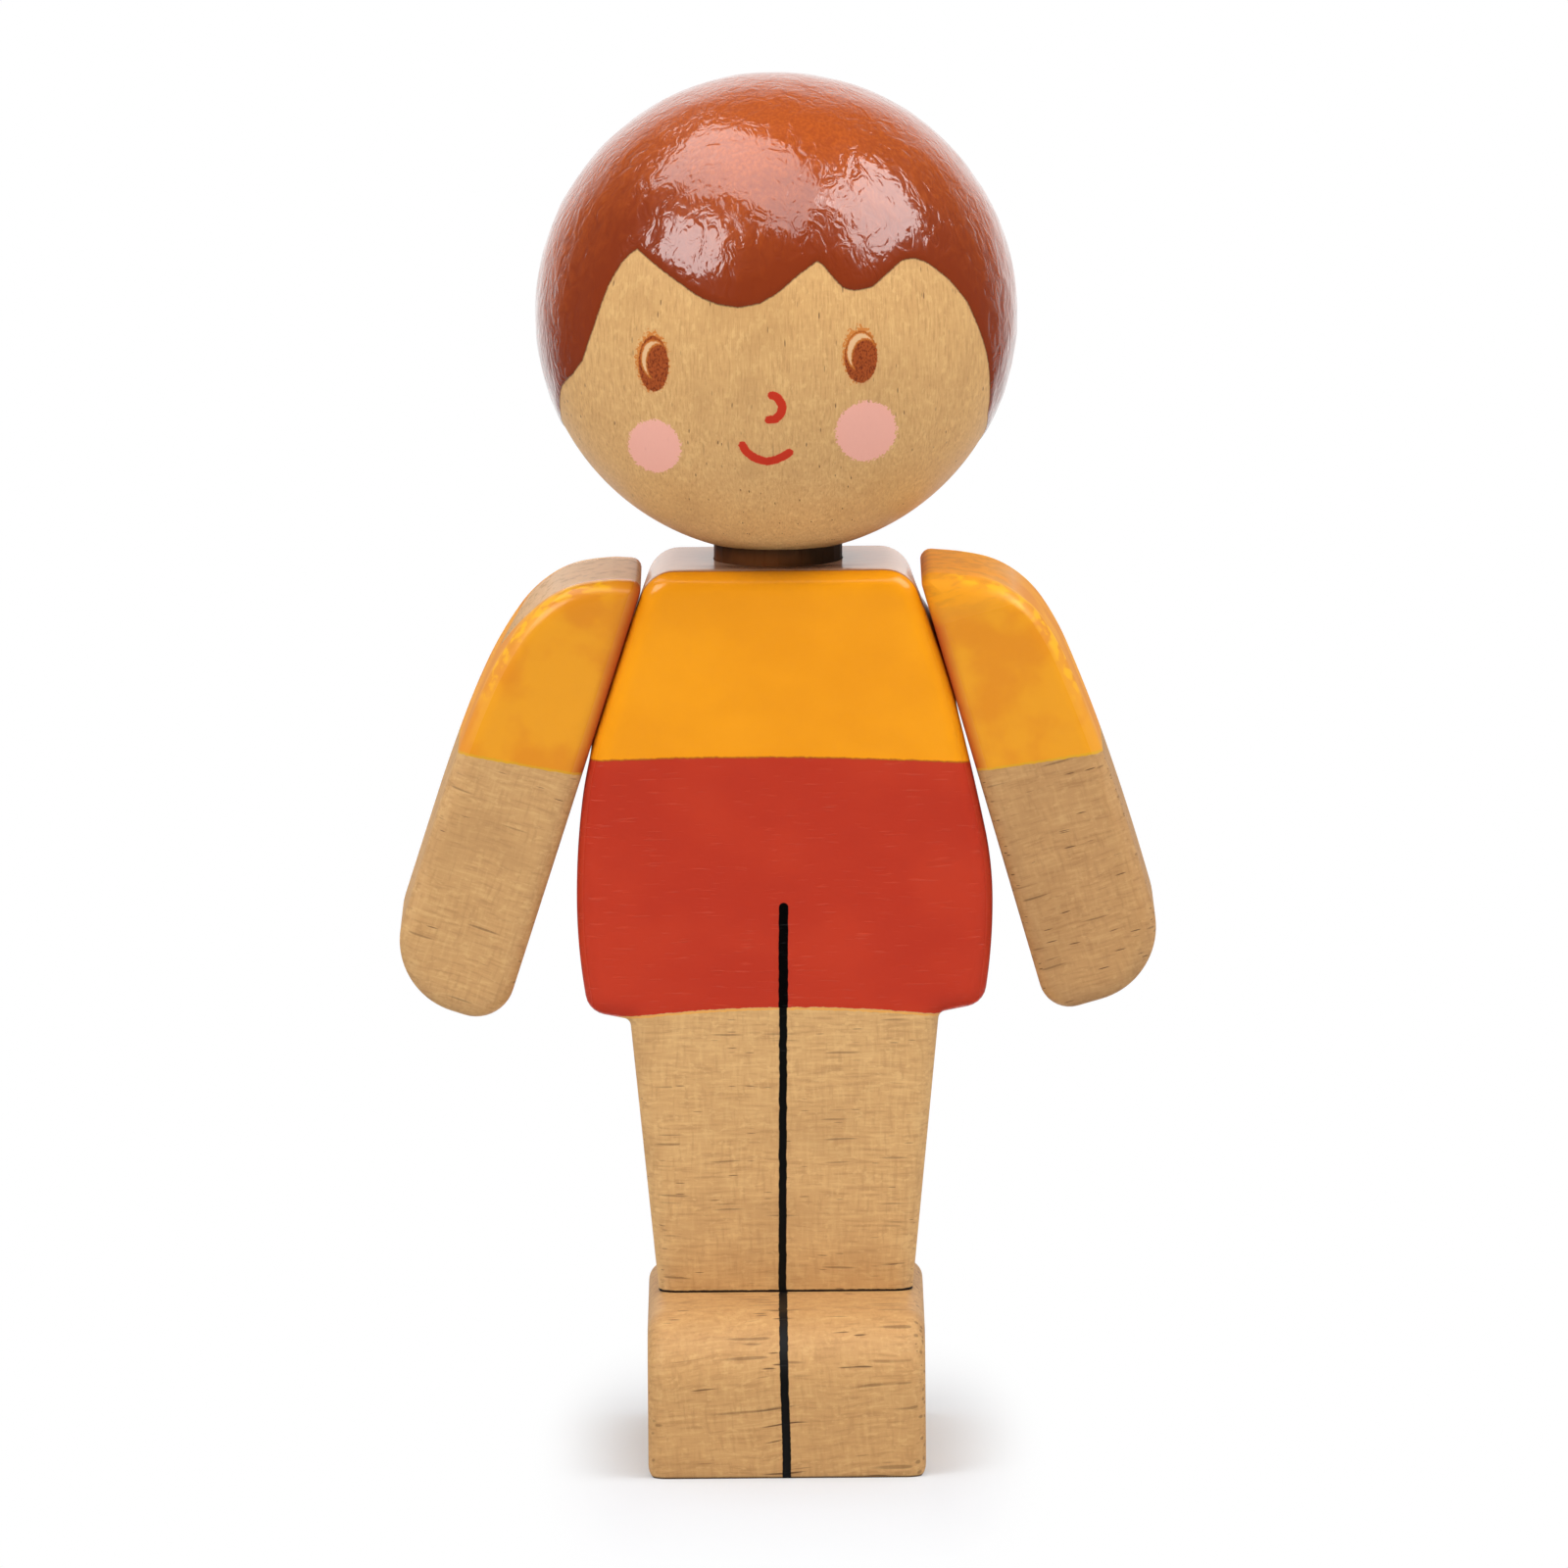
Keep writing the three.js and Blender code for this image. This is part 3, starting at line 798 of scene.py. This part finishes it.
wrinkle = patches(tree, place, (1.5, 1.0, 1.0), Roughness=0.45, Distortion=1.6)
brush = patches(tree, place, (2.2, 0.2, 0.2))
pits = specks(tree, place, (0.8, 0.8, 0.8), 0.7, fade=0.1, rim=(0.2, 0.06))
enamel = layer(tree, HAIR_DEEP, where(tree, (brush, 0.35, 0.7)), HAIR)
# Painted shade: the hair is darker red-brown near its lower edge and lighter towards the crown.
hair_shade_reach = total(tree, -3.0, (kept(tree, "hair"), 1.0), (wrinkle, 6.0))
enamel = layer(tree, HAIR_LOW_SHADE, where(tree, (hair_shade_reach, 0.5, 10.0)), enamel)
hair_mask = painted(tree, "hair", ragged, soft=0.04)
tone = layer(tree, tone, hair_mask, enamel)
# Painted shade: a dark line along the hair's edge, under the raised lip of the paint.
tone = layer(tree, tone, fringe(tree, "hair", ragged, 0.0, 0.09, 0.02), HAIR_EDGE_SHADE, 0.6)
wet = total(tree, wrinkle, (pits, -0.12), (brush, 0.1))
wet = add(tree, "Math", (wet, RELIEF), operation="MULTIPLY")
height = add(tree, "Mix", (hair_mask, bare_height, wet))
surface = lacquered(tree, tone, height, 0.03, add(tree, "Mix", (hair_mask, 0.42, 0.25)), 0.15)
port(surface.inputs, "Coat Roughness").default_value = 0.09
port(surface.inputs, "Coat IOR").default_value = 1.6
tree.links.new(port(hair_mask.outputs, 0), port(surface.inputs, "Coat Weight"))
finish_piece(head, painted_head, "head", "head")

# %% [markdown]
# ## Torso and legs
# One board makes the torso and both legs. Its outline is drawn for one half and mirrored for the other: leg,
# the small hollow under the shorts, the hem's corner, the hip in two long arcs, the straight slanted side and
# the shoulder's corner. The hem is a little lower on one side, as it came off the saw. Below the ankle the board
# is cut off square on the foot block.

# %% Body outline
BOARD, SANDED = 13.0, 1.2  # mm thick, and the radius of its sanded edges
TORSO_TOP, FOOT_TOP = 55.2, 9.9  # heights
HIP_Z, HIP_LOWER = 34.5, 36.5  # mm, height of the hips, and the radius below them
HEM_ROUND, UNDERCUT = 1.45, 11.0  # mm, the hem's corner, and degrees, the slope of its underside
NOTCH = 0.5  # mm, the radius of the hollow under the shorts
TOP_ROUND = 2.2  # mm, the shoulder's corner
ANKLE = 4  # mm that the outline is drawn below the foot block's top


def half_outline(hip, hem, leg_top, leg_foot, *upper):
    """One half, from the half width of its hip, the height of its hem, the leg's edge at the shorts and at the
    foot, and the arcs above the hips. All is drawn as at +X."""
    turn = math.asin((HIP_Z - hem - HEM_ROUND) / (HIP_LOWER - HEM_ROUND))
    hem_x = hip - HIP_LOWER + (HIP_LOWER - HEM_ROUND) * math.cos(turn)
    slope = math.radians(UNDERCUT)
    notch_x = leg_top + NOTCH
    notch_z = hem + HEM_ROUND - (HEM_ROUND + NOTCH) / math.cos(slope) - (hem_x - notch_x) * math.tan(slope)
    lean = math.atan2(leg_top - leg_foot, notch_z - FOOT_TOP)
    ankle = leg_foot - ANKLE * math.tan(lean)
    side = sweep((hip, HIP_Z), 0, *upper)
    tilt = side[-1].angles[-1]
    end_x, end_z = side[-1].points(0)[-1]
    corner = end_x - (TORSO_TOP - TOP_ROUND - end_z) * math.tan(tilt) - TOP_ROUND / math.cos(tilt)
    return [
        Bend((ankle - 1, FOOT_TOP - ANKLE), 1, -90, -math.degrees(lean)),
        Bend((notch_x, notch_z), NOTCH, 180 - math.degrees(lean), 90 + UNDERCUT),
        Bend((hem_x, hem + HEM_ROUND), HEM_ROUND, -90 + UNDERCUT, -math.degrees(turn)),
        Bend((hip - HIP_LOWER, HIP_Z), HIP_LOWER, -math.degrees(turn), 0),
        *side,
        Bend((corner, TORSO_TOP - TOP_ROUND), TOP_ROUND, math.degrees(tilt), 90),
    ]


def mirrored(bends):
    """The same bends on the other side, in the order that carries on round the outline."""
    out = []
    for bend in reversed(bends):
        start, end = (180 - math.degrees(bend.angles[k]) for k in (-1, 0))
        out.append(Bend((-bend.centre[0], bend.centre[1]), bend.radius, start, end))
    return out


left_half = half_outline(12.93, 27.64, 9.5, 7.78, (22, 11.5), (200, 13.5), (40, 16.3), (70, 18.6))
right_half = half_outline(12.94, 27.3, 9.65, 8.04, (50, 7), (26, 18))
outline = left_half + mirrored(right_half)
print("outline in", len(outline), "bends")

# %% [markdown]
# The sides of the shirt's part are sanded so that they close a little towards the back. Beside the arms'
# dowels they stay square, so that the arms lie flat there.

# %% Saw and sand the board
CLOSING = 0.03, 0.05  # how much narrower the back is than the front, up the side and at the very top
TOP_FROM, TOP_TO = 51, 53  # mm up, where the one passes into the other
SQUARE_FROM, SQUARE_TO = (42.5, 45.5), (51.5, 52)  # mm up, for the figure's right and left side
CLOSING_FROM, CLOSING_TO = 31, 34  # mm up, where the closing begins and where it is full
BLEND = 1.5  # mm over which a side passes from square to closing

points, faces = board(outline, BOARD, SANDED)
torso = make("torso_board", points, faces)
at = corners(torso)
x, y, z = at.T
low, high = np.where(x > 0, SQUARE_FROM[1], SQUARE_FROM[0]), np.where(x > 0, SQUARE_TO[1], SQUARE_TO[0])
held = np.clip((z - low) / BLEND, 0, 1) * np.clip((high - z) / BLEND, 0, 1)
through = BOARD / 2 - SANDED
closing = np.clip((z - CLOSING_FROM) / (CLOSING_TO - CLOSING_FROM), 0, 1) * (1 - held)
closing *= np.clip((y + through) / (2 * through), 0, 1)
closing *= np.interp(z, [TOP_FROM, TOP_TO], CLOSING)
move_corners(torso, np.stack([x * (1 - closing), y, z], axis=1))
saw_flat(torso, FOOT_TOP)
print("sides close by up to", round(closing.max() * 100, 1), "%")

# %% [markdown]
# Each arm turns on a dowel that is set square to the slanted side. The drill's place comes from the frame's
# joint, so that hole, dowel and arm stay in line.

# %% Drill the board
ARMS = {"left": (1, 15.7), "right": (-1, 18.1)}  # side, and how far the arm leans out in degrees
DOWEL_HOLE = 2.3  # mm, radius of a hole for a 4 mm dowel
NECK_HOLE_BODY, NECK_SHIFT = 4.05, -0.25  # mm, radius of the neck's hole and its place across
FOOT_DOWELS = -4, 4  # mm across
SEAT, LEG_SEAT = 5.3, 8.3  # mm, depths of the holes for the neck and the arms, and in the legs
PAST = 4  # mm that a drill starts outside the wood


def shoulder(name):
    """Where an arm turns on its dowel: X away from the torso, Z up the arm."""
    side, lean = ARMS[name]
    pivot = next(joint["pos_m"] for joint in frame["joints"] if joint["child"] == name + "_arm")
    return Matrix.Translation(pivot) @ Matrix.Rotation(-side * math.radians(lean), 4, "Y")


def along_x(side):
    """Turns a cutter's Z to X or -X."""
    return Matrix.Rotation(side * math.radians(90), 4, "Y")


drill(
    torso,
    (NECK_HOLE_BODY, -SEAT, PAST, shifted(NECK_SHIFT, 0, TORSO_TOP)),
    *[(DOWEL_HOLE, -SEAT, PAST, shoulder(name) @ along_x(side)) for name, (side, _) in ARMS.items()],
    *[(DOWEL_HOLE, -PAST, LEG_SEAT, shifted(across, 0, FOOT_TOP)) for across in FOOT_DOWELS],
)
print("torso drilled,", len(torso.data.vertices), "points")

# %% [markdown]
# Waist and hem are shallow curves across the board. The line between the legs leans slightly. On top, the
# paint left out a pale patch round the neck, which is partly a painted sheen of the lacquer.

# %% Where the paint goes on the body
LINE_TOP = 34.15  # mm up, where the line between the legs ends
PALE_TOP_SIZE = 5.6, 2.2  # mm, half the pale patch's depth through the board, and its height

at = corners(torso)
x, y, z = at.T
store(torso, "above_waist", z - (43.56 - 0.0135 * x - 0.0022 * x * x))
store(torso, "above_hem", z - (27.87 - 0.0058 * x * x))
store(torso, "line_across", x - (-0.32 + 0.0105 * (z - 11.7)))
store(torso, "line_up", z - LINE_TOP)
store(torso, "above_foot", z - FOOT_TOP)
store(torso, "below_top", TORSO_TOP - z)
store(torso, "pale_top", np.minimum(2.5 * (PALE_TOP_SIZE[0] - np.abs(y)), PALE_TOP_SIZE[1] - (TORSO_TOP - z)))
store(torso, "off_neck", np.hypot(x - NECK_SHIFT, y) - NECK_HOLE_BODY)
print("stored", [attribute.name for attribute in torso.data.attributes if attribute.data_type == "FLOAT"])

# %% [markdown]
# Shirt and shorts are satin paint, thick enough to hide the wood's colour but not its relief, so the fibres
# show as faint ridges in the shorts, which carry a painted highlight. The shirt's paint ends on the shorts' in a
# brown rim, and a little gold shows under the curved hem.

# %% Body paints
SHIRT, SHIRT_WARM = "#f39c10", "#ec950f"
SHORTS, SHORTS_DEEP, SHORTS_RIDGE_GLINT = "#be3820", "#b7331e", "#d2553d"
GLUE_AND_SHADE, HEM_GOLD, WAIST_BROWN = "#1a0f09", "#e6a43c", "#8e3d12"
RAGGED = (0.35, 0.3, 0.3), 0.16  # mm, patches in the edge of a brushed paint, and how far it wanders in all

painted_body, tree = new_material("painted_rubberwood_body")
bare, bare_height, place = grain(tree, pore=(1.1, 0.4, 0.1), few=0.94, start=(11, 5, 7))
ragged = around_zero(tree, patches(tree, place, RAGGED[0], detail=3.0), RAGGED[1])
in_shorts, in_shirt = painted(tree, "above_hem", ragged), painted(tree, "above_waist", ragged)
fibres = patches(tree, place, (1.8, 0.8, 0.17))
ridge = where(tree, (fibres, 0.6, 0.72), (kept(tree, "above_waist"), 0, -0.2))
smear = patches(tree, place, (7, 5, 5), (4, 0, 9))
shirt = layer(tree, SHIRT_WARM, where(tree, (smear, 0.35, 0.65)), SHIRT)
shorts = layer(tree, SHORTS_DEEP, where(tree, (smear, 0.3, 0.65)), SHORTS)
# Painted highlight: a lighter red along the fibre ridges of the shorts.
shorts = layer(tree, shorts, ridge, SHORTS_RIDGE_GLINT, 0.25)
# A dark glue line under the legs, darkened further as painted shade for the shadow in the joint's gap.
glue_and_shade = total(tree, 0.15, (ragged, 0.6), (kept(tree, "above_foot"), -1.0))
bare = layer(tree, bare, where(tree, (glue_and_shade, -0.02, 0.03)), GLUE_AND_SHADE)
bare = layer(tree, bare, fringe(tree, "above_hem", ragged, -0.1, 0.09, 0.045), HEM_GOLD, 0.7)
tone = layer(tree, layer(tree, bare, in_shorts, shorts), in_shirt, shirt)
tone = layer(tree, tone, fringe(tree, "above_waist", ragged, 0.02, 0.07, 0.035), WAIST_BROWN, 0.6)
print("shirt and shorts painted")

# %% [markdown]
# Where the brush didn't reach, the top of the board is pale with a brown rim, and that pale patch is also a
# painted sheen of the lacquer on top. In front of the neck the top is darkened brown as painted shade under the
# ball. The line between the legs is drawn in black ink, a little wider where it crosses the paint, and it wanders
# by less than its width.

# %% Bare top, grime and ink line
PALE_TOP_AND_SHEEN, TOP_RIM, UNDER_HEAD_SHADE, INK = "#d6b6a2", "#8a4a1c", "#4a250f", "#020101"


def ink_line(tree, place, size, wander, width, front, rise=0.0):
    """A mask for the line between the legs. It wanders in patches of a size and by so much in all, and has half that
    width. It is drawn only in front of a place through the board. rise is how far a point is above the line's
    end. All are in mm."""
    across = total(tree, kept(tree, "line_across"), (around_zero(tree, patches(tree, place, size), wander), 1.0))
    off = add(tree, "VectorMath", (add(tree, "CombineXYZ", (across, rise)),), operation="LENGTH").outputs["Value"]
    return where(tree, (total(tree, width, (off, -1.0)), -0.02, 0.03),
                 (axis_of(tree, "Object", "Y"), front * MM, (front - 1) * MM))


# Pale top patch: partly bare wood, partly a painted sheen of the lacquered top.
tone = layer(tree, tone, painted(tree, "pale_top", ragged, rough=4.0, soft=0.3), PALE_TOP_AND_SHEEN, 0.85)
tone = layer(tree, tone, fringe(tree, "pale_top", ragged, 0.0, 0.3, 0.15), TOP_RIM, 0.6)
# Painted shade: the top is darkened brown round the front of the neck, where the ball shades it.
off_neck = total(tree, kept(tree, "off_neck"), (ragged, 3.0))
under_head_shade = where(tree, (kept(tree, "below_top"), 1.6, 0.1), (off_neck, 3.4, 0.2),
              (axis_of(tree, "Object", "Y"), -2.5 * MM, -4 * MM))
tone = layer(tree, tone, under_head_shade, UNDER_HEAD_SHADE, 0.8)
above_end = add(tree, "Math", (kept(tree, "line_up"), 0.0), operation="MAXIMUM")
line = ink_line(tree, place, (50, 50, 0.7), 0.16, total(tree, 0.25, (in_shorts, 0.05)), -3, above_end)
tone = layer(tree, tone, line, INK)
print("ink line drawn up to", LINE_TOP, "mm")

# %% [markdown]
# Sprayed lacquer dries with a fine orange peel, which the eye sees where the paint is glossy. The sawn sides
# of the board took up more of it and look dull.

# %% Body relief and gloss
orange_peel = patches(tree, place, (0.7, 0.5, 0.5))
height = add(tree, "Mix", (in_shorts, bare_height, total(tree, orange_peel, (ridge, 0.9))))
sideways = add(tree, "Math", (axis_of(tree, "Normal", "X"),), operation="ABSOLUTE")
dull = where(tree, (sideways, 0.5, 0.95), (kept(tree, "below_top"), 2.0, 4.5))
gloss = total(tree, add(tree, "Mix", (in_shorts, 0.42, 0.2)), (dull, 0.25))
lacquered(tree, tone, height, 0.015, gloss, 0.35)
finish_piece(torso, painted_body, "figure_body", "body")

# %% [markdown]
# ## Foot block
# The feet are one block, glued and dowelled under the legs. Its outline is drawn from the side, with the big
# round over the toes, and its sanded edges follow that outline on both sides. It is drawn past its sole and
# then sawn flat, so that the sole's edge is sharp.

# %% Foot block
low, high = box_mm("foot_block")
front, back, top = low[1], high[1], high[2]
TOE, HEEL, SOLE = 4.5, 1.2, 0.9  # mm, radii over the toes, at the top behind and at the sole
UNDER = 0.45  # mm that the block is drawn below its sawn sole
BLOCK_SHIFT = -0.12  # mm, how far the block is glued out of the middle
FOOT_SEAT = 6.3  # mm, depth of the dowels' holes
side_view = [
    Bend((back - SOLE, SOLE - UNDER), SOLE, -90, 0),
    Bend((back - HEEL, top - HEEL), HEEL, 0, 90),
    Bend((front + TOE, top - TOE), TOE, 90, 180),
    Bend((front + SOLE, SOLE - UNDER), SOLE, 180, 270),
]
points, faces = board(side_view, high[0] - low[0], SANDED)
block = make("foot_board", points[:, [1, 0, 2]] + (BLOCK_SHIFT, 0, 0), [face[::-1] for face in faces])
saw_flat(block, 0)
drill(block, *[(DOWEL_HOLE, -FOOT_SEAT, PAST, shifted(across, 0, top)) for across in FOOT_DOWELS])

# The black line carries on over the toes and drifts to one side as it goes down
LINE_UP, LINE_DRIFT = [0, 2.4, 4.2, 6.7, 8.6, 9.9], [-0.15, -0.16, -0.21, -0.28, -0.29, -0.3]  # mm
at = corners(block)
store(block, "line_across", at[:, 0] - np.interp(at[:, 2], LINE_UP, LINE_DRIFT))
store(block, "above_floor", at[:, 2])
print("foot block from", round(front, 2), "to", round(back, 2), "mm through")

# %% [markdown]
# The block was sawn from a coarser board of the same wood, so its pores show as long dark dashes. Where it
# meets the floor it carries a dark line of painted shade, the contact shadow, and its lacquer is nearly matt.

# %% Foot material
CONTACT_SHADE = "#2c2018"

footed, tree = new_material("lacquered_rubberwood_feet")
bare, bare_height, place = grain(tree, tilt=(0, math.radians(4), 0), pore=(5.0, 0.25, 0.2), few=0.86,
                                 vessel=(9, 0.5, 0.4), rare=0.7, start=(2, 8, 5), wavy=0.5, aged=0.5)
# Painted shade: a dark line along the sole, the contact shadow on the floor.
tone = layer(tree, bare, where(tree, (kept(tree, "above_floor"), 0.16, 0.05)), CONTACT_SHADE, 0.85)
tone = layer(tree, tone, ink_line(tree, place, (50, 1.0, 0.7), 0.2, 0.27, -5), INK)
lacquered(tree, tone, bare_height, 0.02, 0.55, 0.2)
finish_piece(block, footed, "figure_body", "foot_block")

# %% [markdown]
# ## Arms
# Both arms are cut to the same pattern: a straight inner side, a shoulder that sweeps round in a long
# quarter ellipse, and a rounded hand. They are drawn upright, with the dowel's axis along X and the torso at
# x = 0, and then set on their dowels. The left sleeve's paint goes all round the arm and is worn at the top.
# The right sleeve's paint covers the front, the back and the sanded edges, and leaves the outer side bare at
# the top.

# %% Arm patterns
TIP = 0.65  # mm, radius of the inner corner at the top
OUTER_SWEEPS = {
    "left": sweep((8.58, -16.25), 0, (153, 3), (101, 7), (16.8, 18), (6.8, 42), (6, 62), (15.8, 70)),
    "right": sweep((8.55, -10.9), 0, (103, 3), (47.5, 7), (22.4, 18), (7.5, 42), (5.3, 62), (13.4, 70), (2.1, 75)),
}
# mm, the inner side's place at the top and at the hand, the hand's lowest point, its outer and inner corner
HANDS = {"left": (0.35, 0.46, -21.87, 4.7, 1.9), "right": (0.65, 0.67, -22.29, 4.63, 2.4)}
SLEEVE_END = {"left": -5.8, "right": -5.55}  # mm up from the dowel, at the inner side
ALL_ROUND = {"left": 9, "right": 0}  # mm more of cover, which takes the left sleeve's paint round its outer side
WORN = {"left": 1, "right": 0}  # whether the top of the sleeve is rubbed
ARM_DRILL = -3.5, 5.4  # mm out from the torso, where the drill starts and ends
arms = {}
print("patterns for", *HANDS)

# %% Saw and drill the arms
for name, (side, _) in ARMS.items():
    bends, (inner, wrist, low_end, round_out, round_in) = OUTER_SWEEPS[name], HANDS[name]
    from_x, from_z = bends[-1].points(TIP)[-1]
    turn = bends[-1].angles[-1]
    tip_z = from_z + (from_x - inner - TIP) / math.tan(turn)
    arm_outline = [
        Bend((bends[0].points(0)[0, 0] - round_out, low_end + round_out), round_out, -90, 0),
        *bends,
        Bend((inner + TIP, tip_z), TIP, math.degrees(turn), 180),
        Bend((wrist + round_in, low_end + round_in), round_in, 180, 270),
    ]
    points, faces = board(arm_outline, BOARD, SANDED)
    if side < 0:
        points, faces = points * (-1, 1, 1), [face[::-1] for face in faces]
    arm = make(name + "_arm_board", points, faces)
    drill(arm, (DOWEL_HOLE, *ARM_DRILL, along_x(side)))
    at = corners(arm)
    out, depth, rise = side * at[:, 0], BOARD / 2 - np.abs(at[:, 1]), at[:, 2]
    worn = WORN[name] * np.clip((rise - 3.5) / 1.5, 0, 1)
    store(arm, "above_sleeve", rise - (SLEEVE_END[name] - 0.13 * out))
    store(arm, "cover", 1.7 + 6 * np.clip((3 - rise) / 4, 0, 1) - depth + ALL_ROUND[name])
    store(arm, "worn", worn)
    store(arm, "rubbed", worn * np.clip((out - inner - 3.5) / 2.5, 0, 1) * np.clip(depth - 0.9, 0, 1))
    store(arm, "off_face", depth)
    store(arm, "off_inner", out - inner)
    arm.data.transform(shoulder(name))
    arms[name] = arm
    local = np.array(shoulder(name).inverted()) @ np.insert(corners(torso) * MM, 3, 1, axis=1).T
    print(name, "arm", round(low_end, 2), "to", round(tip_z + TIP, 2), "mm from its dowel, and at least",
          round(inner - np.max(local[0] * side) / MM, 3), "mm off the torso as it swings")

# %% [markdown]
# The wood of the arms is two different offcuts: the left one is darker and has more pores. The top of a
# sleeve, where it is bare, is paler and stained in streaks.

# %% Wood of the arms
OFFCUT = {"left": (0.9, 0.8, (21, 3, 4)), "right": (0.95, 0.4, (5, 14, 9))}  # few, aged and start, as for grain
TOP_PALE, TOP_STAIN = "#eec6a0", "#a4703c"


def arm_wood(tree, name):
    """Bare wood of an arm: colour, height and places, and the streaks in it."""
    side, lean = ARMS[name]
    few, aged, start = OFFCUT[name]
    bare, bare_height, place = grain(tree, tilt=(0, side * math.radians(lean), 0), pore=(1.3, 0.5, 0.13), few=few,
                                     start=start, aged=aged)
    above, streak = kept(tree, "above_sleeve"), patches(tree, place, (1.5, 1.0, 0.4), detail=3.0)
    bare = layer(tree, bare, where(tree, (above, 6.0, 11.0)), TOP_PALE, 0.45)
    bare = layer(tree, bare, where(tree, (above, 7.0, 10.0), (streak, 0.5, 0.7)), TOP_STAIN, 0.5)
    return bare, bare_height, place, streak


print("offcuts for", *OFFCUT)

# %% [markdown]
# The sleeves have the shirt's paint, put on by hand. Along the inner side it turns red, as painted shade and a
# painted reflection of the torso; on the upper sanded edge it has patches of painted yellow highlight; and on
# the left arm it is thin in streaks and rubbed through at the top.

# %% Paint of the sleeves
SLEEVE, SLEEVE_LIGHT, SLEEVE_INNER_SHADE, SLEEVE_END_TONE = "#dd8a1e", "#e69920", "#b23d18", "#cfa42a"
WORN_TONE, THIN, RUBBED, EDGE_HIGHLIGHT = "#ee9a0a", "#c27c1e", "#dca468", "#f4b40c"


def sleeve_paint(tree, name, place, streak, ragged):
    """Colour of a sleeve, and the mask of where it is painted."""
    start = OFFCUT[name][2]
    above, worn = kept(tree, "above_sleeve"), kept(tree, "worn")
    off_inner, off_face = kept(tree, "off_inner"), kept(tree, "off_face")
    smear = patches(tree, place, (4, 4, 4), start, 3.0)
    highlight_patches = patches(tree, place, (1.6, 0.7, 0.9), start)
    # Painted highlight: broken yellow patches along the upper sanded edge of the front.
    edge_highlight = where(tree, (off_face, 0.05, 0.4), (off_face, 1.9, 1.2), (above, 2.0, 6.0), (highlight_patches, 0.45, 0.58),
                   (off_inner, 1.2, 2.4))
    tone = SLEEVE
    for mask, shade, strength in (
        (where(tree, (smear, 0.4, 0.6)), SLEEVE_LIGHT, 1.0),
        # Painted shade and reflection: red along the inner side, next to the torso.
        (where(tree, (off_inner, 1.0, 0.0)), SLEEVE_INNER_SHADE, 0.8),
        (fringe(tree, "above_sleeve", ragged, 0.05, 0.14, 0.07), SLEEVE_END_TONE, 0.6),
        (worn, WORN_TONE, 1.0),
        (where(tree, worn, (streak, 0.42, 0.62)), THIN, 0.4),
        (where(tree, kept(tree, "rubbed"), (smear, 0.3, 0.6)), RUBBED, 0.75),
        (edge_highlight, EDGE_HIGHLIGHT, 0.75),
    ):
        tone = layer(tree, tone, mask, shade, strength)
    cover = total(tree, kept(tree, "cover"), (around_zero(tree, smear, 0.4), 1.0))
    return tone, where(tree, painted(tree, "above_sleeve", ragged), (cover, -0.1, 0.1))


print("sleeve paint ready")

# %% [markdown]
# An arm's paint is glossy in front. Its sides, its worn top and its bare wood are dull, so that no softbox shows
# in them.

# %% Arm materials
GLOSSY, DULL = 0.22, 0.75

for name, arm in arms.items():
    painted_arm, tree = new_material("painted_rubberwood_" + name + "_arm")
    bare, bare_height, place, streak = arm_wood(tree, name)
    ragged = around_zero(tree, patches(tree, place, RAGGED[0], detail=3.0), RAGGED[1])
    sleeve, mask = sleeve_paint(tree, name, place, streak, ragged)
    ridge = total(tree, 0.3, (patches(tree, place, (2.5, 0.8, 0.4), detail=3.0), 0.7))
    sideways = add(tree, "Math", (axis_of(tree, "Normal", "X"),), operation="ABSOLUTE")
    dull = where(tree, (sideways, 0.3, 0.8))
    for other in (kept(tree, "worn"), total(tree, 0.4, (mask, -0.4))):
        dull = add(tree, "Math", (dull, other), operation="MAXIMUM")
    gloss = add(tree, "Mix", (dull, GLOSSY, DULL))
    lacquered(tree, layer(tree, bare, mask, sleeve), add(tree, "Mix", (mask, bare_height, ridge)), 0.015, gloss, 0.35)
    finish_piece(arm, painted_arm, name + "_arm", name + "_arm")

# %% [markdown]
# ## Dowels
# The dowels keep the frame's own solids. The neck's dowel is coloured dark brown as painted shade under the
# ball, with a lighter patch at one side of its foot as painted light, and the others are bare beech with fibres
# along the dowel.

# %% Dowel materials
DOWEL_SHADE, DOWEL_LIT_SIDE = "#200e07", "#74401c"

shaded_dowel, tree = new_material("shaded_beech_dowel")
bare, bare_height, place = grain(tree, tilt=UPRIGHT, few=0.97)
# Painted shade on the neck's dowel, with painted light on one side of its foot.
lit_foot = where(tree, (patches(tree, place, (3, 3, 3)), 0.3, 0.6), (axis_of(tree, "Object", "X"), 3 * MM, -1 * MM),
             (axis_of(tree, "Object", "Z"), 56.6 * MM, 55.4 * MM))
tone = layer(tree, bare, 0.96, layer(tree, DOWEL_SHADE, lit_foot, DOWEL_LIT_SIDE))
lacquered(tree, tone, bare_height, 0.02, 0.6, 0.1)
dress(frame["nodes"]["neck_dowel"], shaded_dowel)

for axis, tilt, joint in (("upright", UPRIGHT, "foot"), ("level", (0, 0, 0), "shoulder")):
    beech, tree = new_material("beech_dowel_" + axis)
    bare, bare_height, _ = grain(tree, tilt=tilt, few=0.96)
    lacquered(tree, bare, bare_height, 0.02, 0.6)
    for side in ("right", "left"):
        dress(frame["nodes"][side + "_" + joint + "_dowel"], beech)
print("dowels dressed")
